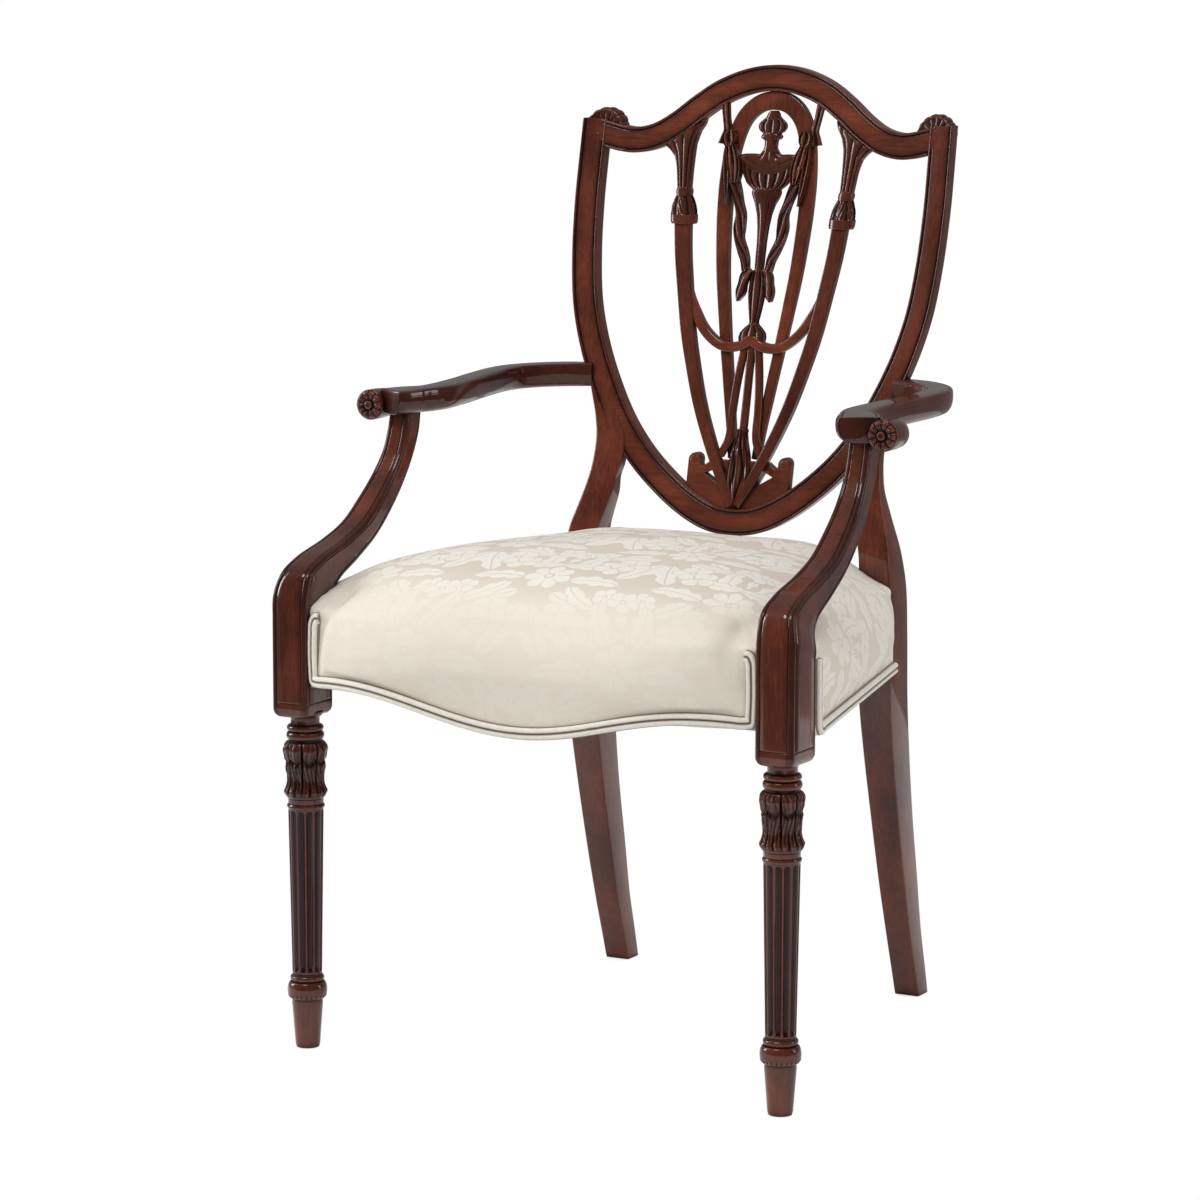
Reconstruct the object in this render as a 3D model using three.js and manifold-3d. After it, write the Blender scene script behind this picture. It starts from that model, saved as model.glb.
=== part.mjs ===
// Shield back armchair: a mahogany frame with a pierced, carved splat and an upholstered seat.
// Millimetres, +Z up, the chair faces -Y, and the origin is on the floor under the middle of its box.
import * as THREE from 'three';
import { mergeVertices } from 'three/addons/utils/BufferGeometryUtils.js';
import Module from 'manifold-3d';

const wasm = await Module();
wasm.setup();

// Fits shared by every joint
const fit = 0.3; // clearance between two seated pieces
const overrun = 6; // how far a cutter runs past what it cuts
const lap = 1; // how far joined volumes of one piece run into each other

// Shield: one face surface that every piece of the back follows
const faceRefHeight = 500; // height where the face depth is stated
const faceRefY = 174.7; // face of the shield at that height, on the centre line
const rakeShare = 0.2232; // backward lean per unit of height
const faceSweepRadius = 16200; // slight backward curve of the face in side view
const faceDishRadius = 1360; // hollow of the face in plan
const frameWidth = 27.6; // stiles, crest and lower rail across their face
const frameDepth = 20; // their thickness from front to back
const frameSideDepth = 12; // flat side before the back rounds over
const frameBackInset = 6.5; // the rounded back draws in this far on each side
const beadDepth = 2.2; // height of the edge bead's flank
const beadInset = 1.5; // bead crown from the edge
const grooveInset = 3.6; // groove beside the bead from the edge
const grooveDepth = 1.5;
const fieldCrown = 0.4; // face between the grooves below the bead crown

// Shield outline, centre of the frame's width
const shieldHalfWidth = 205.2;
const shieldBottom = 506.8;
const shieldHeight = 419.2; // up to the shoulders
const shieldShares = [
  [0, 0], [0.146, 0.01], [0.292, 0.044], [0.439, 0.096], [0.575, 0.158], [0.697, 0.234], [0.804, 0.327],
  [0.892, 0.427], [0.955, 0.535], [0.987, 0.656], [1, 0.783], [1, 0.89], [0.997, 1],
];
const scarfRise = 121.2; // joint of the lower rail and the stile above the shield's lowest point
const scarfHeight = shieldBottom + scarfRise;
const crestHalfWidth = 200;
const crestDip = 904;
const crestRise = 67.6;
const crestShares = [
  [0, 1], [0.15, 0.944], [0.3, 0.778], [0.425, 0.54], [0.54, 0.278], [0.65, 0.086], [0.76, 0], [0.86, 0.015],
  [1, 0.118],
];
const crestTenon = { length: 12, height: 13, depth: 8 };
const shoulderCap = { centre: 195, base: 914, halfWidth: 23.2, rise: 24, recess: 0.6, depth: 21 };

// Splat
const archHalfWidth = 48;
const archTop = 948;
const archRecess = 3.6;
const archFootRecess = 12; // the legs of the arch pass behind the stems
const archDepth = 8;
const archTopWidth = 20;
const archFootWidth = 9;
const archShares = [
  [0, 1], [0.4, 0.987], [0.72, 0.946], [0.9, 0.879], [0.99, 0.791], [1, 0.697], [0.96, 0.603], [0.89, 0.509],
  [0.78, 0.41], [0.68, 0.327], [0.57, 0.241], [0.47, 0.161], [0.37, 0.08], [0.29, 0],
];
const ribTopX = 93;
const ribTop = 818;
const ribFoot = 521;
const ribRecess = -1;
const ribDepth = 9.5;
const ribTopWidth = 18;
const ribFootWidth = 10.5;
const ribShares = [
  [1, 1], [0.962, 0.891], [0.892, 0.762], [0.806, 0.619], [0.699, 0.493], [0.57, 0.364], [0.409, 0.241],
  [0.204, 0.109], [0, 0],
];
const capital = { x: 93, lean: 12.5, foot: 816, height: 116, halfWidth: 24.6, recess: -3.5, depth: 12.5 };
const capitalShares = [
  [0, 0.55], [0.02, 0.6], [0.07, 0.6], [0.08, 0.54], [0.15, 0.5], [0.22, 0.36], [0.235, 0.29], [0.25, 0.34],
  [0.285, 0.34], [0.3, 0.31], [0.42, 0.35], [0.53, 0.41], [0.62, 0.48], [0.7, 0.59], [0.8, 0.8], [0.88, 0.95],
  [1, 1],
];
const swagHalfWidth = 76;
const swagFoot = 688.5;
const swagRise = 56.5;
const swagWidth = 10.4;
const swagShares = [
  [0, 0.15], [0.13, 0.05], [0.29, 0], [0.46, 0.027], [0.62, 0.15], [0.77, 0.345], [0.89, 0.6], [1, 1],
];
const carvedRecess = 0.6; // urn, swag and stems stand a little in front of the arch
const carvedBack = 9;
const stemRecess = 3.5;
const stemTop = 684;
const stemWidth = 8.6;
const sideStemSpread = 24;
const sideStemDrop = 109;
const sideStemShares = [
  [0.36, 0], [0.5, 0.22], [0.58, 0.4], [0.63, 0.59], [0.63, 0.74], [0.71, 0.86], [1, 1],
];
const budShares = [
  [0, 0.36], [0.15, 0.5], [0.31, 0.78], [0.45, 1], [0.6, 0.9], [0.76, 0.5], [0.9, 0.2], [1, 0.08],
];
const urn = { top: 937.2, height: 167, halfWidth: 36.6 };
const urnShares = [
  [0, 0.05], [0.015, 0.12], [0.045, 0.12], [0.052, 0.24], [0.08, 0.38], [0.105, 0.4], [0.13, 0.31],
  [0.147, 0.18], [0.157, 0.23], [0.175, 0.23], [0.185, 0.16], [0.235, 0.17], [0.28, 0.3], [0.305, 0.4],
  [0.309, 0.93], [0.32, 1], [0.345, 1], [0.354, 0.92], [0.42, 0.82], [0.465, 0.66], [0.5, 0.42],
  [0.508, 0.38], [0.53, 0.39], [0.538, 0.33], [0.6, 0.24], [0.69, 0.18], [0.83, 0.15], [1, 0.15],
];
const husk = { top: 769.8, height: 67.3, halfWidth: 22 };
const huskShares = [
  [0, 0.36], [0.05, 0.72], [0.19, 0.95], [0.33, 1], [0.43, 0.82], [0.46, 0.54], [0.58, 0.46], [0.7, 0.33],
  [0.78, 0.26], [0.82, 0.3], [0.88, 0.6], [0.95, 0.8], [1, 0.78],
];
const drapeReach = 57;
const drapeTop = 946;
const drapeDrop = 178;
const drapeWidth = 17;
const drapeRecess = -3.4; // the drapes hang over the arch
const drapeBack = 6;
const drapeShares = [
  [1, 0], [0.95, 0.17], [0.83, 0.27], [0.75, 0.37], [0.66, 0.47], [0.5, 0.57], [0.34, 0.66], [0.4, 0.73],
  [0.44, 0.79], [0.27, 0.9], [0.165, 1],
];
const drapeWidthShares = [0.45, 0.6, 1, 1, 0.85, 0.6, 0.5, 0.55, 0.55, 0.5, 0.42];
const shoe = { halfWidth: 60.5, foot: 514, recess: 6, depth: 8.5 };
const archFootRise = 58; // legs of the arch above the foot of the shoe
const archFoot = shoe.foot + archFootRise;
const budRise = 93; // top of the leafy bud above the foot of the shoe
const bud = { top: shoe.foot + budRise, height: 78, halfWidth: 13.5, recess: 3.5, depth: 8 };
const shoeScroll = { x: 53, z: 569, radius: 7.5 };
const shoeNeck = { x: 44, z: 563 };
const shoeShoulder = { x: 33, z: 570 };
const shoeHole = { innerX: 21, outerX: 40, foot: 544.5, brow: 555.5, peakX: 29.5, peak: 560.5 };

// Rear legs, each in one piece with its post and its stile
const rearFootFront = 249.3;
const rearFootDepth = 25;
const rearFootInner = 161.8;
const rearFootOuter = 190.2;
const rearSeatFront = 156.6; // front face of the leg at the seat
const rearSeatDepth = 45;
const rearSeatInner = 157.5;
const rearSeatOuter = 195;
const postBelowShield = 106.8; // the leg's widest level, at the seat, below the shield
const rearSeatHeight = shieldBottom - postBelowShield;
const rearLegShares = [
  // height, front and depth and inner and outer face, from the foot to the seat
  [0, 0, 0, 0, 0], [0.0625, 0.09, 0.1, 0.02, 0.02], [0.1875, 0.275, 0.27, 0.03, 0.06],
  [0.3375, 0.463, 0.48, 0.3, 0.24], [0.5175, 0.668, 0.65, 0.5, 0.4], [0.6875, 0.84, 0.86, 0.8, 0.6],
  [0.83, 0.965, 0.97, 0.9, 0.95], [1, 1, 1, 1, 1],
];
const postAboveShield = 193.2;
const postTop = shieldBottom + postAboveShield;
const postFrontSlopeShare = 0.04; // lean of the post's front just above the seat
const postSetBack = 4; // the top of the post tucks in behind the stile's face
const postTopDepth = 13;
const postBackBevel = 5.5; // rounding of the post's back edges
const postInnerReach = 23; // how far the inner edge moves in or out
const postOuterReach = 23;
const postShares = [
  // height, inner and outer edge, depth, rounding of the back, set-back from the shield's face
  [0.167, -0.02, -0.087, 0.94, 0.4, 0], [0.267, -0.065, -0.196, 0.78, 0.7, 0], [0.317, -0.2, -0.304, 0.64, 1, 0],
  [0.367, -0.4, -0.51, 0.5, 1, 0], [0.433, -0.66, -0.78, 0.33, 1, 0], [0.493, -0.78, -0.987, 0.156, 1, 0],
  [0.54, -0.98, -1.087, 0.08, 1, 0], [0.627, -1, -1.14, 0, 0.9, 0], [0.707, -0.52, -0.957, 0, 0.9, 0.2],
  [0.767, -0.09, -0.7, 0, 0.9, 0.6], [0.86, 0.48, -0.326, 0, 0.9, 1], [1, 1.25, 0.16, 0, 0.9, 1],
];

// Front posts: turned and fluted leg, square block and swept arm support in one piece
const frontPostX = 271;
const frontPostY = -241.5;
const legAxisX = 268.4;
const turnedFacets = 14;
const footRadius = 12.3;
const footTopRadius = 16.1;
const footHeight = 50;
const ankleRadius = 20.2;
const ankleTop = 68.5;
const shaftFoot = 77;
const shaftHead = 258;
const shaftFootRadius = 15;
const shaftHeadRadius = 18.1;
const fluteCount = 12;
const fluteDepth = 2;
const fluteRunOut = 4; // rounded ends of the flutes
const fluteHead = 247;
const cupRadius = 22;
const cupHeight = 58; // carved cup from the shaft to the rings
const cupShares = [[0.03, 0.86], [0.11, 0.98], [0.2, 0.88], [0.3, 0.8], [0.5, 0.85], [0.78, 1], [0.92, 0.97], [1, 0.86]];
const ringRadius = 19;
const ringHeight = 7.6;
const neckRadius = 14.7;
const blockFoot = 342;
const blockShoulder = 351;
const blockHalfWidth = 20.3;
const blockHalfDepth = 26.2;
const blockTop = 440;
const arris = 2; // small bevel on square edges
const supportTop = 631;
const supportSweep = 200; // how far the front edge travels back
const supportWidthShares = [1, 1, 0.9, 0.86, 0.8, 0.75, 0.72, 0.67, 0.61, 0.59, 0.58];
const supportShares = [
  // height and travel of the front edge, then of the back edge
  [0, 0, 0, 0], [0.136, 0.008, 0.052, 0.005], [0.251, 0.05, 0.126, 0.028], [0.322, 0.176, 0.19, 0.08],
  [0.39, 0.4, 0.275, 0.252], [0.466, 0.585, 0.372, 0.425], [0.571, 0.725, 0.483, 0.56],
  [0.694, 0.855, 0.634, 0.702], [0.817, 0.942, 0.78, 0.802], [0.939, 0.987, 0.906, 0.86], [1, 1, 1, 0.878],
];
const supportTenon = { width: 12, depth: 12, height: 12 };

// Arms
const armThickness = 25.2;
const armTopRear = 665.6;
const armTopFront = 656.6;
const armReachX = 80; // plan sweep outside the first point
const armStartX = 182;
const armSetBack = 7; // the arm's middle line starts this far behind the shield's face
const armFrontY = -76;
const armWidth = 29;
const armShares = [
  // outward place, forward place, width
  [0, 0, 0.75], [0.35, 0.04, 1.1], [0.66, 0.11, 1.1], [0.84, 0.19, 1.02], [0.89, 0.29, 0.98], [0.84, 0.47, 1],
  [0.77, 0.62, 1.04], [0.74, 0.78, 1.14], [0.79, 0.855, 1.14], [0.91, 0.91, 1.44], [0.985, 0.95, 1.56],
  [1.04, 0.99, 1.52], [1.06, 1, 1.3],
];
const armSectionShares = [
  [-0.5, 0.08], [-0.43, 0], [0.43, 0], [0.5, 0.08], [0.49, 0.58], [0.26, 1], [-0.26, 1], [-0.49, 0.58],
];
const armTenon = { length: 14, height: 12, depth: 9, z: 652.5 };
const roll = { x: 292, z: 640.2, radius: 15.8, front: -76.6, length: 35 };
const rosette = { radius: 14.6, thickness: 3.2, petals: 8 };

// Seat frame
const railTop = 428;
const railFoot = 367;
const railThickness = 24;
const padThickness = 9; // upholstery over the outside of the rails
const frontRailBack = -229;
const backRailThickness = 22;
const sideTenon = { length: 20, height: 40, depth: 10 };
const railTenonInset = 2; // tenons keep this far inside the leg faces
const cornerLegLength = 72; // corner block along the rail
const cornerBlockFoot = 374;
const cornerBlockTop = 422;
const screw = { radius: 2.2, headRadius: 4.3, headHeight: 2.6, length: 34, sides: 6, inset: 24 };
const webbing = { width: 48, thickness: 1.4, count: 4, overhang: 14 };
const liningThickness = 1;

// Seat upholstery, the plan taken at its lower edge
const seatFrontY = -284; // centre of the serpentine front
const seatFrontDrop = 26; // how far the front falls back at the posts
const seatFrontSwell = 3; // the front swells this far on each side of its centre
const seatFrontHalf = 247;
const seatSideFrontX = 281.7;
const seatSideFrontY = -184.7;
const seatSideRearX = 199;
const seatSideRearY = 156.3;
const seatBackY = 200.5;
const backRailFront = seatBackY - padThickness - backRailThickness;
const seatLowZ = 349.4; // lowest point of the serpentine edge
const seatLowRise = 29.6;
const seatSideLowZ = 365;
const seatCrown = 514;
const seatBulge = 12.5; // outward swell of the upholstered sides
const seatSkirtShares = [
  // height up to the crown, and swell
  [0.22, 0.75], [0.32, 1], [0.44, 0.92], [0.53, 0.68], [0.605, 0.38],
];
const seatCrownShares = [
  // height up to the crown, drawing in towards the middle, and how much more at the corners
  [0.68, 0.03, 0.07], [0.76, 0.085, 0.1], [0.84, 0.17, 0.1], [0.905, 0.29, 0.08], [0.95, 0.44, 0.05],
  [0.98, 0.63, 0.02], [1, 0.83, 0],
];
const weltDiameter = 5.6;
const weltSteps = 3; // facets round the half of each cord
const weltUprightShare = 0.5; // the ends turn up beside the front posts to this height
const weltBand = 2.3 * weltDiameter; // straight band of cloth behind the piping
const weltGround = 2.9 * weltDiameter; // flat strip of cloth behind the upright piping

// Colours
const mahogany = { color: 0x4a1c12, roughness: 0.25 };
const carvedMahogany = { color: 0x3c160e, roughness: 0.3 };
const seatRailWood = { color: 0xa98a62, roughness: 0.7 };
const damask = { color: 0xe9e2d5, roughness: 0.75 };
const pipingCloth = { color: 0xeee6d8, roughness: 0.8 };
const screwSteel = { color: 0x8d8a84, roughness: 0.4, metalness: 0.9 };
const jute = { color: 0x9c7b4c, roughness: 0.9 };
const liningCloth = { color: 0x1d1c1c, roughness: 0.95 };

const group = new THREE.Group();

function addMesh(name, geometry, finish) {
  const material = new THREE.MeshStandardMaterial({
    color: finish.color,
    roughness: finish.roughness,
    metalness: finish.metalness ?? 0,
  });
  const mesh = new THREE.Mesh(geometry, material);
  mesh.name = name;
  group.add(mesh);
}

// Solids

function toSolid(geometry) {
  const bare = geometry.clone();
  bare.deleteAttribute('normal');
  bare.deleteAttribute('uv');
  const merged = mergeVertices(bare);
  return new wasm.Manifold(new wasm.Mesh({
    numProp: 3,
    vertProperties: new Float32Array(merged.attributes.position.array),
    triVerts: new Uint32Array(merged.index.array),
  }));
}

function toGeometry(solid) {
  const mesh = solid.getMesh();
  const geometry = new THREE.BufferGeometry();
  geometry.setAttribute('position', new THREE.BufferAttribute(new Float32Array(mesh.vertProperties), 3));
  geometry.setIndex(new THREE.BufferAttribute(new Uint32Array(mesh.triVerts), 1));
  geometry.computeVertexNormals();
  return geometry;
}

function signedVolume(points, faces) {
  let volume = 0;
  for (const [a, b, c] of faces) {
    volume += points[a].dot(new THREE.Vector3().crossVectors(points[b], points[c]));
  }
  return volume;
}

// Closed skin over rings of equal point count; the flat section says how the two end caps are filled
function loft(rings, flatSection) {
  const count = rings[0].length;
  const points = rings.flat();
  const faces = [];
  for (let ring = 0; ring < rings.length - 1; ring += 1) {
    for (let index = 0; index < count; index += 1) {
      const next = (index + 1) % count;
      const a = ring * count + index;
      const b = ring * count + next;
      faces.push([a, b, b + count], [a, b + count, a + count]);
    }
  }
  const flipped = THREE.ShapeUtils.isClockWise(flatSection);
  const caps = THREE.ShapeUtils.triangulateShape(flatSection, []);
  const last = (rings.length - 1) * count;
  for (const [a, b, c] of caps) {
    faces.push(flipped ? [a, b, c] : [a, c, b]);
    faces.push(flipped ? [a + last, c + last, b + last] : [a + last, b + last, c + last]);
  }
  const outward = signedVolume(points, faces) > 0;
  const geometry = new THREE.BufferGeometry().setFromPoints(points);
  geometry.setIndex(faces.flatMap(([a, b, c]) => (outward ? [a, b, c] : [a, c, b])));
  geometry.computeVertexNormals();
  return geometry;
}

function boxSolid(low, high) {
  const size = new THREE.Vector3().subVectors(high, low);
  const centre = new THREE.Vector3().addVectors(low, high).multiplyScalar(1 / 2);
  const geometry = new THREE.BoxGeometry(size.x, size.y, size.z);
  geometry.translate(centre.x, centre.y, centre.z);
  return toSolid(geometry);
}

function cylinderBetween(from, to, radius, sides) {
  const length = from.distanceTo(to);
  const geometry = new THREE.CylinderGeometry(radius, radius, length, sides);
  geometry.translate(0, length / 2, 0);
  const turn = new THREE.Quaternion().setFromUnitVectors(
    new THREE.Vector3(0, 1, 0),
    new THREE.Vector3().subVectors(to, from).normalize(),
  );
  geometry.applyQuaternion(turn);
  geometry.translate(from.x, from.y, from.z);
  return toSolid(geometry);
}

function prism(outline, foot, top) {
  const flat = outline.map(([x, y]) => new THREE.Vector2(x, y));
  const ring = (z) => flat.map((point) => new THREE.Vector3(point.x, point.y, z));
  return toSolid(loft([ring(foot), ring(top)], flat));
}

function mirrored(solid) {
  return solid.mirror([1, 0, 0]);
}

// The shield's face surface and the pieces that follow it

function faceY(x, z) {
  const rise = z - faceRefHeight;
  return faceRefY + rakeShare * rise - rise ** 2 / (2 * faceSweepRadius) - x ** 2 / (2 * faceDishRadius);
}

function onFace(x, z, depth) {
  return new THREE.Vector3(x, faceY(x, z) + depth, z);
}

function symmetricCurve(shares, halfWidth, base, height) {
  const half = shares.map(([across, up]) => new THREE.Vector2(across * halfWidth, base + up * height));
  const other = half.slice(1).reverse().map((point) => new THREE.Vector2(-point.x, point.y));
  return new THREE.SplineCurve([...other, ...half]);
}

function ribbonSection(width, depth) {
  const half = width / 2;
  return [
    [frameBackInset - half, depth], [-half, frameSideDepth], [-half, beadDepth], [beadInset - half, 0], [grooveInset - half, grooveDepth],
    [0, fieldCrown], [half - grooveInset, grooveDepth], [half - beadInset, 0], [half, beadDepth], [half, frameSideDepth],
    [half - frameBackInset, depth],
  ];
}

function plainSection(width, depth, bevel = 0) {
  const half = width / 2;
  if (bevel === 0) return [[-half, depth], [-half, 0], [half, 0], [half, depth]];
  return [[-half, depth], [-half, bevel], [bevel - half, 0], [half - bevel, 0], [half, bevel], [half, depth]];
}

function roundSection(width, depth) {
  const half = width / 2;
  const section = [[-half, depth], [-half, depth / 2]];
  const steps = 3;
  for (let step = 1; step < steps; step += 1) {
    const angle = Math.PI * (1 - step / steps);
    section.push([half * Math.cos(angle), (depth / 2) * (1 - Math.sin(angle))]);
  }
  section.push([half, depth / 2], [half, depth]);
  return section;
}

// A strip of a given section along a curve drawn in elevation, laid on the face surface
function faceStrip({ curve, from = 0, to = 1, steps, recess, sectionAt }) {
  const rings = [];
  for (let step = 0; step <= steps; step += 1) {
    const share = from + ((to - from) * step) / steps;
    const point = curve.getPointAt(share);
    const along = curve.getTangentAt(share);
    rings.push(sectionAt(share).map(([across, depth]) => onFace(
      point.x - along.y * across,
      point.y + along.x * across,
      recess + depth,
    )));
  }
  const flat = sectionAt(from).map(([across, depth]) => new THREE.Vector2(across, depth));
  return toSolid(loft(rings, flat));
}

// A carved body on the face surface: its outline comes from shares of height and half width
function carvedBody({ x = 0, lean = 0, top, height, halfWidth, shares, recess, depth }) {
  const rings = shares.map(([down, across]) => {
    const z = top - down * height;
    const centre = x + lean * (1 - down);
    return roundSection(2 * across * halfWidth, depth)
      .map(([offset, back]) => onFace(centre + offset, z, recess + back));
  });
  const flat = roundSection(halfWidth, depth).map(([offset, back]) => new THREE.Vector2(offset, back));
  return toSolid(loft(rings, flat));
}

function shapeOnFace(shape, recess, depth) {
  const geometry = new THREE.ExtrudeGeometry(shape, { depth, bevelEnabled: false, curveSegments: 5 });
  const position = geometry.attributes.position;
  for (let index = 0; index < position.count; index += 1) {
    const x = position.getX(index);
    const z = position.getY(index);
    const back = position.getZ(index);
    position.setXYZ(index, x, faceY(x, z) + recess + back, z);
  }
  return toSolid(flipFaces(geometry));
}

function flipFaces(geometry) {
  const merged = mergeVertices(stripped(geometry));
  const index = merged.index.array;
  for (let face = 0; face < index.length; face += 3) {
    const held = index[face + 1];
    index[face + 1] = index[face + 2];
    index[face + 2] = held;
  }
  return merged;
}

function stripped(geometry) {
  const bare = geometry.clone();
  bare.deleteAttribute('normal');
  bare.deleteAttribute('uv');
  return bare;
}

// Shield frame

const shieldCurve = symmetricCurve(shieldShares, shieldHalfWidth, shieldBottom, shieldHeight);
const crestCurve = symmetricCurve(crestShares, crestHalfWidth, crestDip, crestRise);

function shareAtHeight(curve, height) {
  let low = 0.5;
  let high = 1;
  for (let step = 0; step < 40; step += 1) {
    const middle = (low + high) / 2;
    if (curve.getPointAt(middle).y < height) low = middle;
    else high = middle;
  }
  return low;
}

const scarfShare = shareAtHeight(shieldCurve, scarfHeight);
const scarfGapShare = fit / 2 / shieldCurve.getLength();

function stile(clearance = 0) {
  const section = clearance > 0
    ? plainSection(frameWidth + 2 * clearance, frameDepth + 2 * overrun)
    : ribbonSection(frameWidth, frameDepth);
  return faceStrip({
    curve: shieldCurve,
    from: scarfShare + (clearance > 0 ? 0 : scarfGapShare),
    to: 1,
    steps: 14,
    recess: clearance > 0 ? -overrun : 0,
    sectionAt: () => section,
  });
}

function lowerRail(clearance = 0) {
  const section = clearance > 0
    ? plainSection(frameWidth + 2 * clearance, frameDepth + 2 * overrun)
    : ribbonSection(frameWidth, frameDepth);
  const end = scarfShare + (clearance > 0 ? scarfGapShare : -scarfGapShare);
  return faceStrip({
    curve: shieldCurve,
    from: 1 - end,
    to: end,
    steps: 36,
    recess: clearance > 0 ? -overrun : 0,
    sectionAt: () => section,
  });
}

function lowerRailPiece() {
  const mortise = armTenonBox(fit);
  return lowerRail().subtract(mortise).subtract(mirrored(mortise));
}

// The cutter form reaches further up or down, to clear what ends against the crest
function crestBand(clearance = 0, above = overrun, below = 0) {
  const section = clearance > 0
    ? plainSection(frameWidth + 2 * clearance, frameDepth + 2 * overrun)
      .map(([across, depth]) => [across > 0 ? across + above : across - below, depth])
    : ribbonSection(frameWidth, frameDepth);
  return faceStrip({
    curve: crestCurve,
    steps: 36,
    recess: clearance > 0 ? -overrun : 0,
    sectionAt: () => section,
  });
}

function crestTenonBox(clearance = 0) {
  const innerEdge = shieldHalfWidth - frameWidth / 2;
  const z = crestDip + crestRise * crestShares.at(-1)[1] - lap;
  const y = faceY(innerEdge, z) + frameDepth / 2;
  return boxSolid(
    new THREE.Vector3(innerEdge - overrun, y - crestTenon.depth / 2 - clearance, z - crestTenon.height / 2 - clearance),
    new THREE.Vector3(
      innerEdge + crestTenon.length + clearance,
      y + crestTenon.depth / 2 + clearance,
      z + crestTenon.height / 2 + clearance,
    ),
  );
}

function crestRail() {
  const trimmed = crestBand().subtract(stile(fit)).subtract(mirrored(stile(fit)));
  const tenon = crestTenonBox();
  return trimmed.add(tenon).add(mirrored(tenon));
}

function shoulderCapSolid() {
  const shape = new THREE.Shape();
  shape.moveTo(shoulderCap.centre + shoulderCap.halfWidth, shoulderCap.base);
  shape.absellipse(
    shoulderCap.centre, shoulderCap.base, shoulderCap.halfWidth, shoulderCap.rise, 0, Math.PI, false, 0,
  );
  shape.closePath();
  const dome = shapeOnFace(shape, shoulderCap.recess, shoulderCap.depth);
  return dome.subtract(crestBand(fit, 0, 2 * overrun)).subtract(stileHeadCutter());
}

function stileHeadCutter() {
  const top = shieldBottom + shieldHeight + fit;
  const half = frameWidth / 2 + fit;
  const centre = shieldHalfWidth * shieldShares.at(-1)[0];
  const y = faceY(centre, top);
  return boxSolid(
    new THREE.Vector3(centre - half, y - overrun, shoulderCap.base - overrun),
    new THREE.Vector3(centre + half + overrun, y + frameDepth + overrun, top),
  );
}

// Splat

const archCurve = symmetricCurve(archShares, archHalfWidth, archFoot, archTop - archFoot);
const swagCurve = symmetricCurve(swagShares, swagHalfWidth, swagFoot, swagRise);
const ribCurve = new THREE.SplineCurve(ribShares.map(
  ([across, up]) => new THREE.Vector2(across * ribTopX, ribFoot + up * (ribTop - ribFoot)),
));

function taper(share, atStart, atEnd) {
  return atStart + (atEnd - atStart) * share;
}

function archBand(clearance = 0) {
  return faceStrip({
    curve: archCurve,
    steps: 40,
    recess: 0,
    sectionAt: (share) => {
      const foot = Math.abs(2 * share - 1);
      const recess = taper(foot ** 3, archRecess, archFootRecess) - clearance;
      return plainSection(
        taper(foot, archTopWidth, archFootWidth) + 2 * clearance,
        archDepth + (clearance > 0 ? overrun : 0),
        clearance > 0 ? 0 : arris / 2,
      ).map(([across, depth]) => [across, depth + recess]);
    },
  });
}

function splatArch() {
  return archBand().subtract(crestBand(fit)).subtract(splatShoeBlank(fit)).subtract(lowerRail(fit));
}

function ribBand(clearance = 0) {
  return faceStrip({
    curve: ribCurve,
    steps: 16,
    recess: ribRecess - (clearance > 0 ? overrun : 0),
    sectionAt: (share) => plainSection(
      taper(share, ribTopWidth, ribFootWidth) + 2 * clearance,
      ribDepth + (clearance > 0 ? overrun + clearance : 0),
      clearance > 0 ? 0 : arris / 2,
    ),
  });
}

function splatRib() {
  const head = carvedBody({
    x: capital.x,
    lean: capital.lean,
    top: capital.foot + capital.height,
    height: capital.height,
    halfWidth: capital.halfWidth,
    shares: capitalShares.map(([up, across]) => [1 - up, across]).reverse(),
    recess: capital.recess,
    depth: capital.depth,
  });
  const middle = boxSolid(
    new THREE.Vector3(-ribTopX, 0, ribFoot - 2 * frameWidth),
    new THREE.Vector3(fit / 2, 2 * faceRefY, ribTop),
  );
  return ribBand().add(head).subtract(crestBand(fit)).subtract(lowerRail(fit)).subtract(middle);
}

function splatUrn() {
  return carvedBody({ ...urn, shares: urnShares, recess: carvedRecess, depth: carvedBack - carvedRecess });
}

function splatHusk() {
  return carvedBody({ ...husk, shares: huskShares, recess: carvedRecess, depth: carvedBack - carvedRecess });
}

function splatDrape() {
  const curve = new THREE.SplineCurve(drapeShares.map(
    ([across, down]) => new THREE.Vector2(across * drapeReach, drapeTop - down * drapeDrop),
  ));
  const widthAt = (share) => {
    const place = share * (drapeWidthShares.length - 1);
    const index = Math.min(Math.floor(place), drapeWidthShares.length - 2);
    return drapeWidth * taper(place - index, drapeWidthShares[index], drapeWidthShares[index + 1]);
  };
  const cloth = faceStrip({
    curve,
    steps: 20,
    recess: drapeRecess,
    sectionAt: (share) => roundSection(widthAt(share), drapeBack - drapeRecess),
  });
  return cloth.subtract(archBand(fit)).subtract(crestBand(fit)).subtract(roomFor(urn, urnShares)).subtract(roomFor(husk, huskShares));
}

// Cutter that leaves the joint's clearance round a carved body
function roomFor(body, shares) {
  return carvedBody({
    top: body.top + fit,
    height: body.height + 2 * fit,
    halfWidth: body.halfWidth,
    shares: shares.map(([down, across]) => [down, across + fit / body.halfWidth]),
    recess: drapeRecess - overrun,
    depth: carvedBack - drapeRecess + 2 * overrun,
  });
}

function splatSwag() {
  const band = faceStrip({
    curve: swagCurve,
    steps: 26,
    recess: carvedRecess,
    sectionAt: () => plainSection(swagWidth, carvedBack - carvedRecess, arris / 2),
  });
  return band.subtract(ribBand(fit)).subtract(mirrored(ribBand(fit))).subtract(archBand(fit));
}

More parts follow.
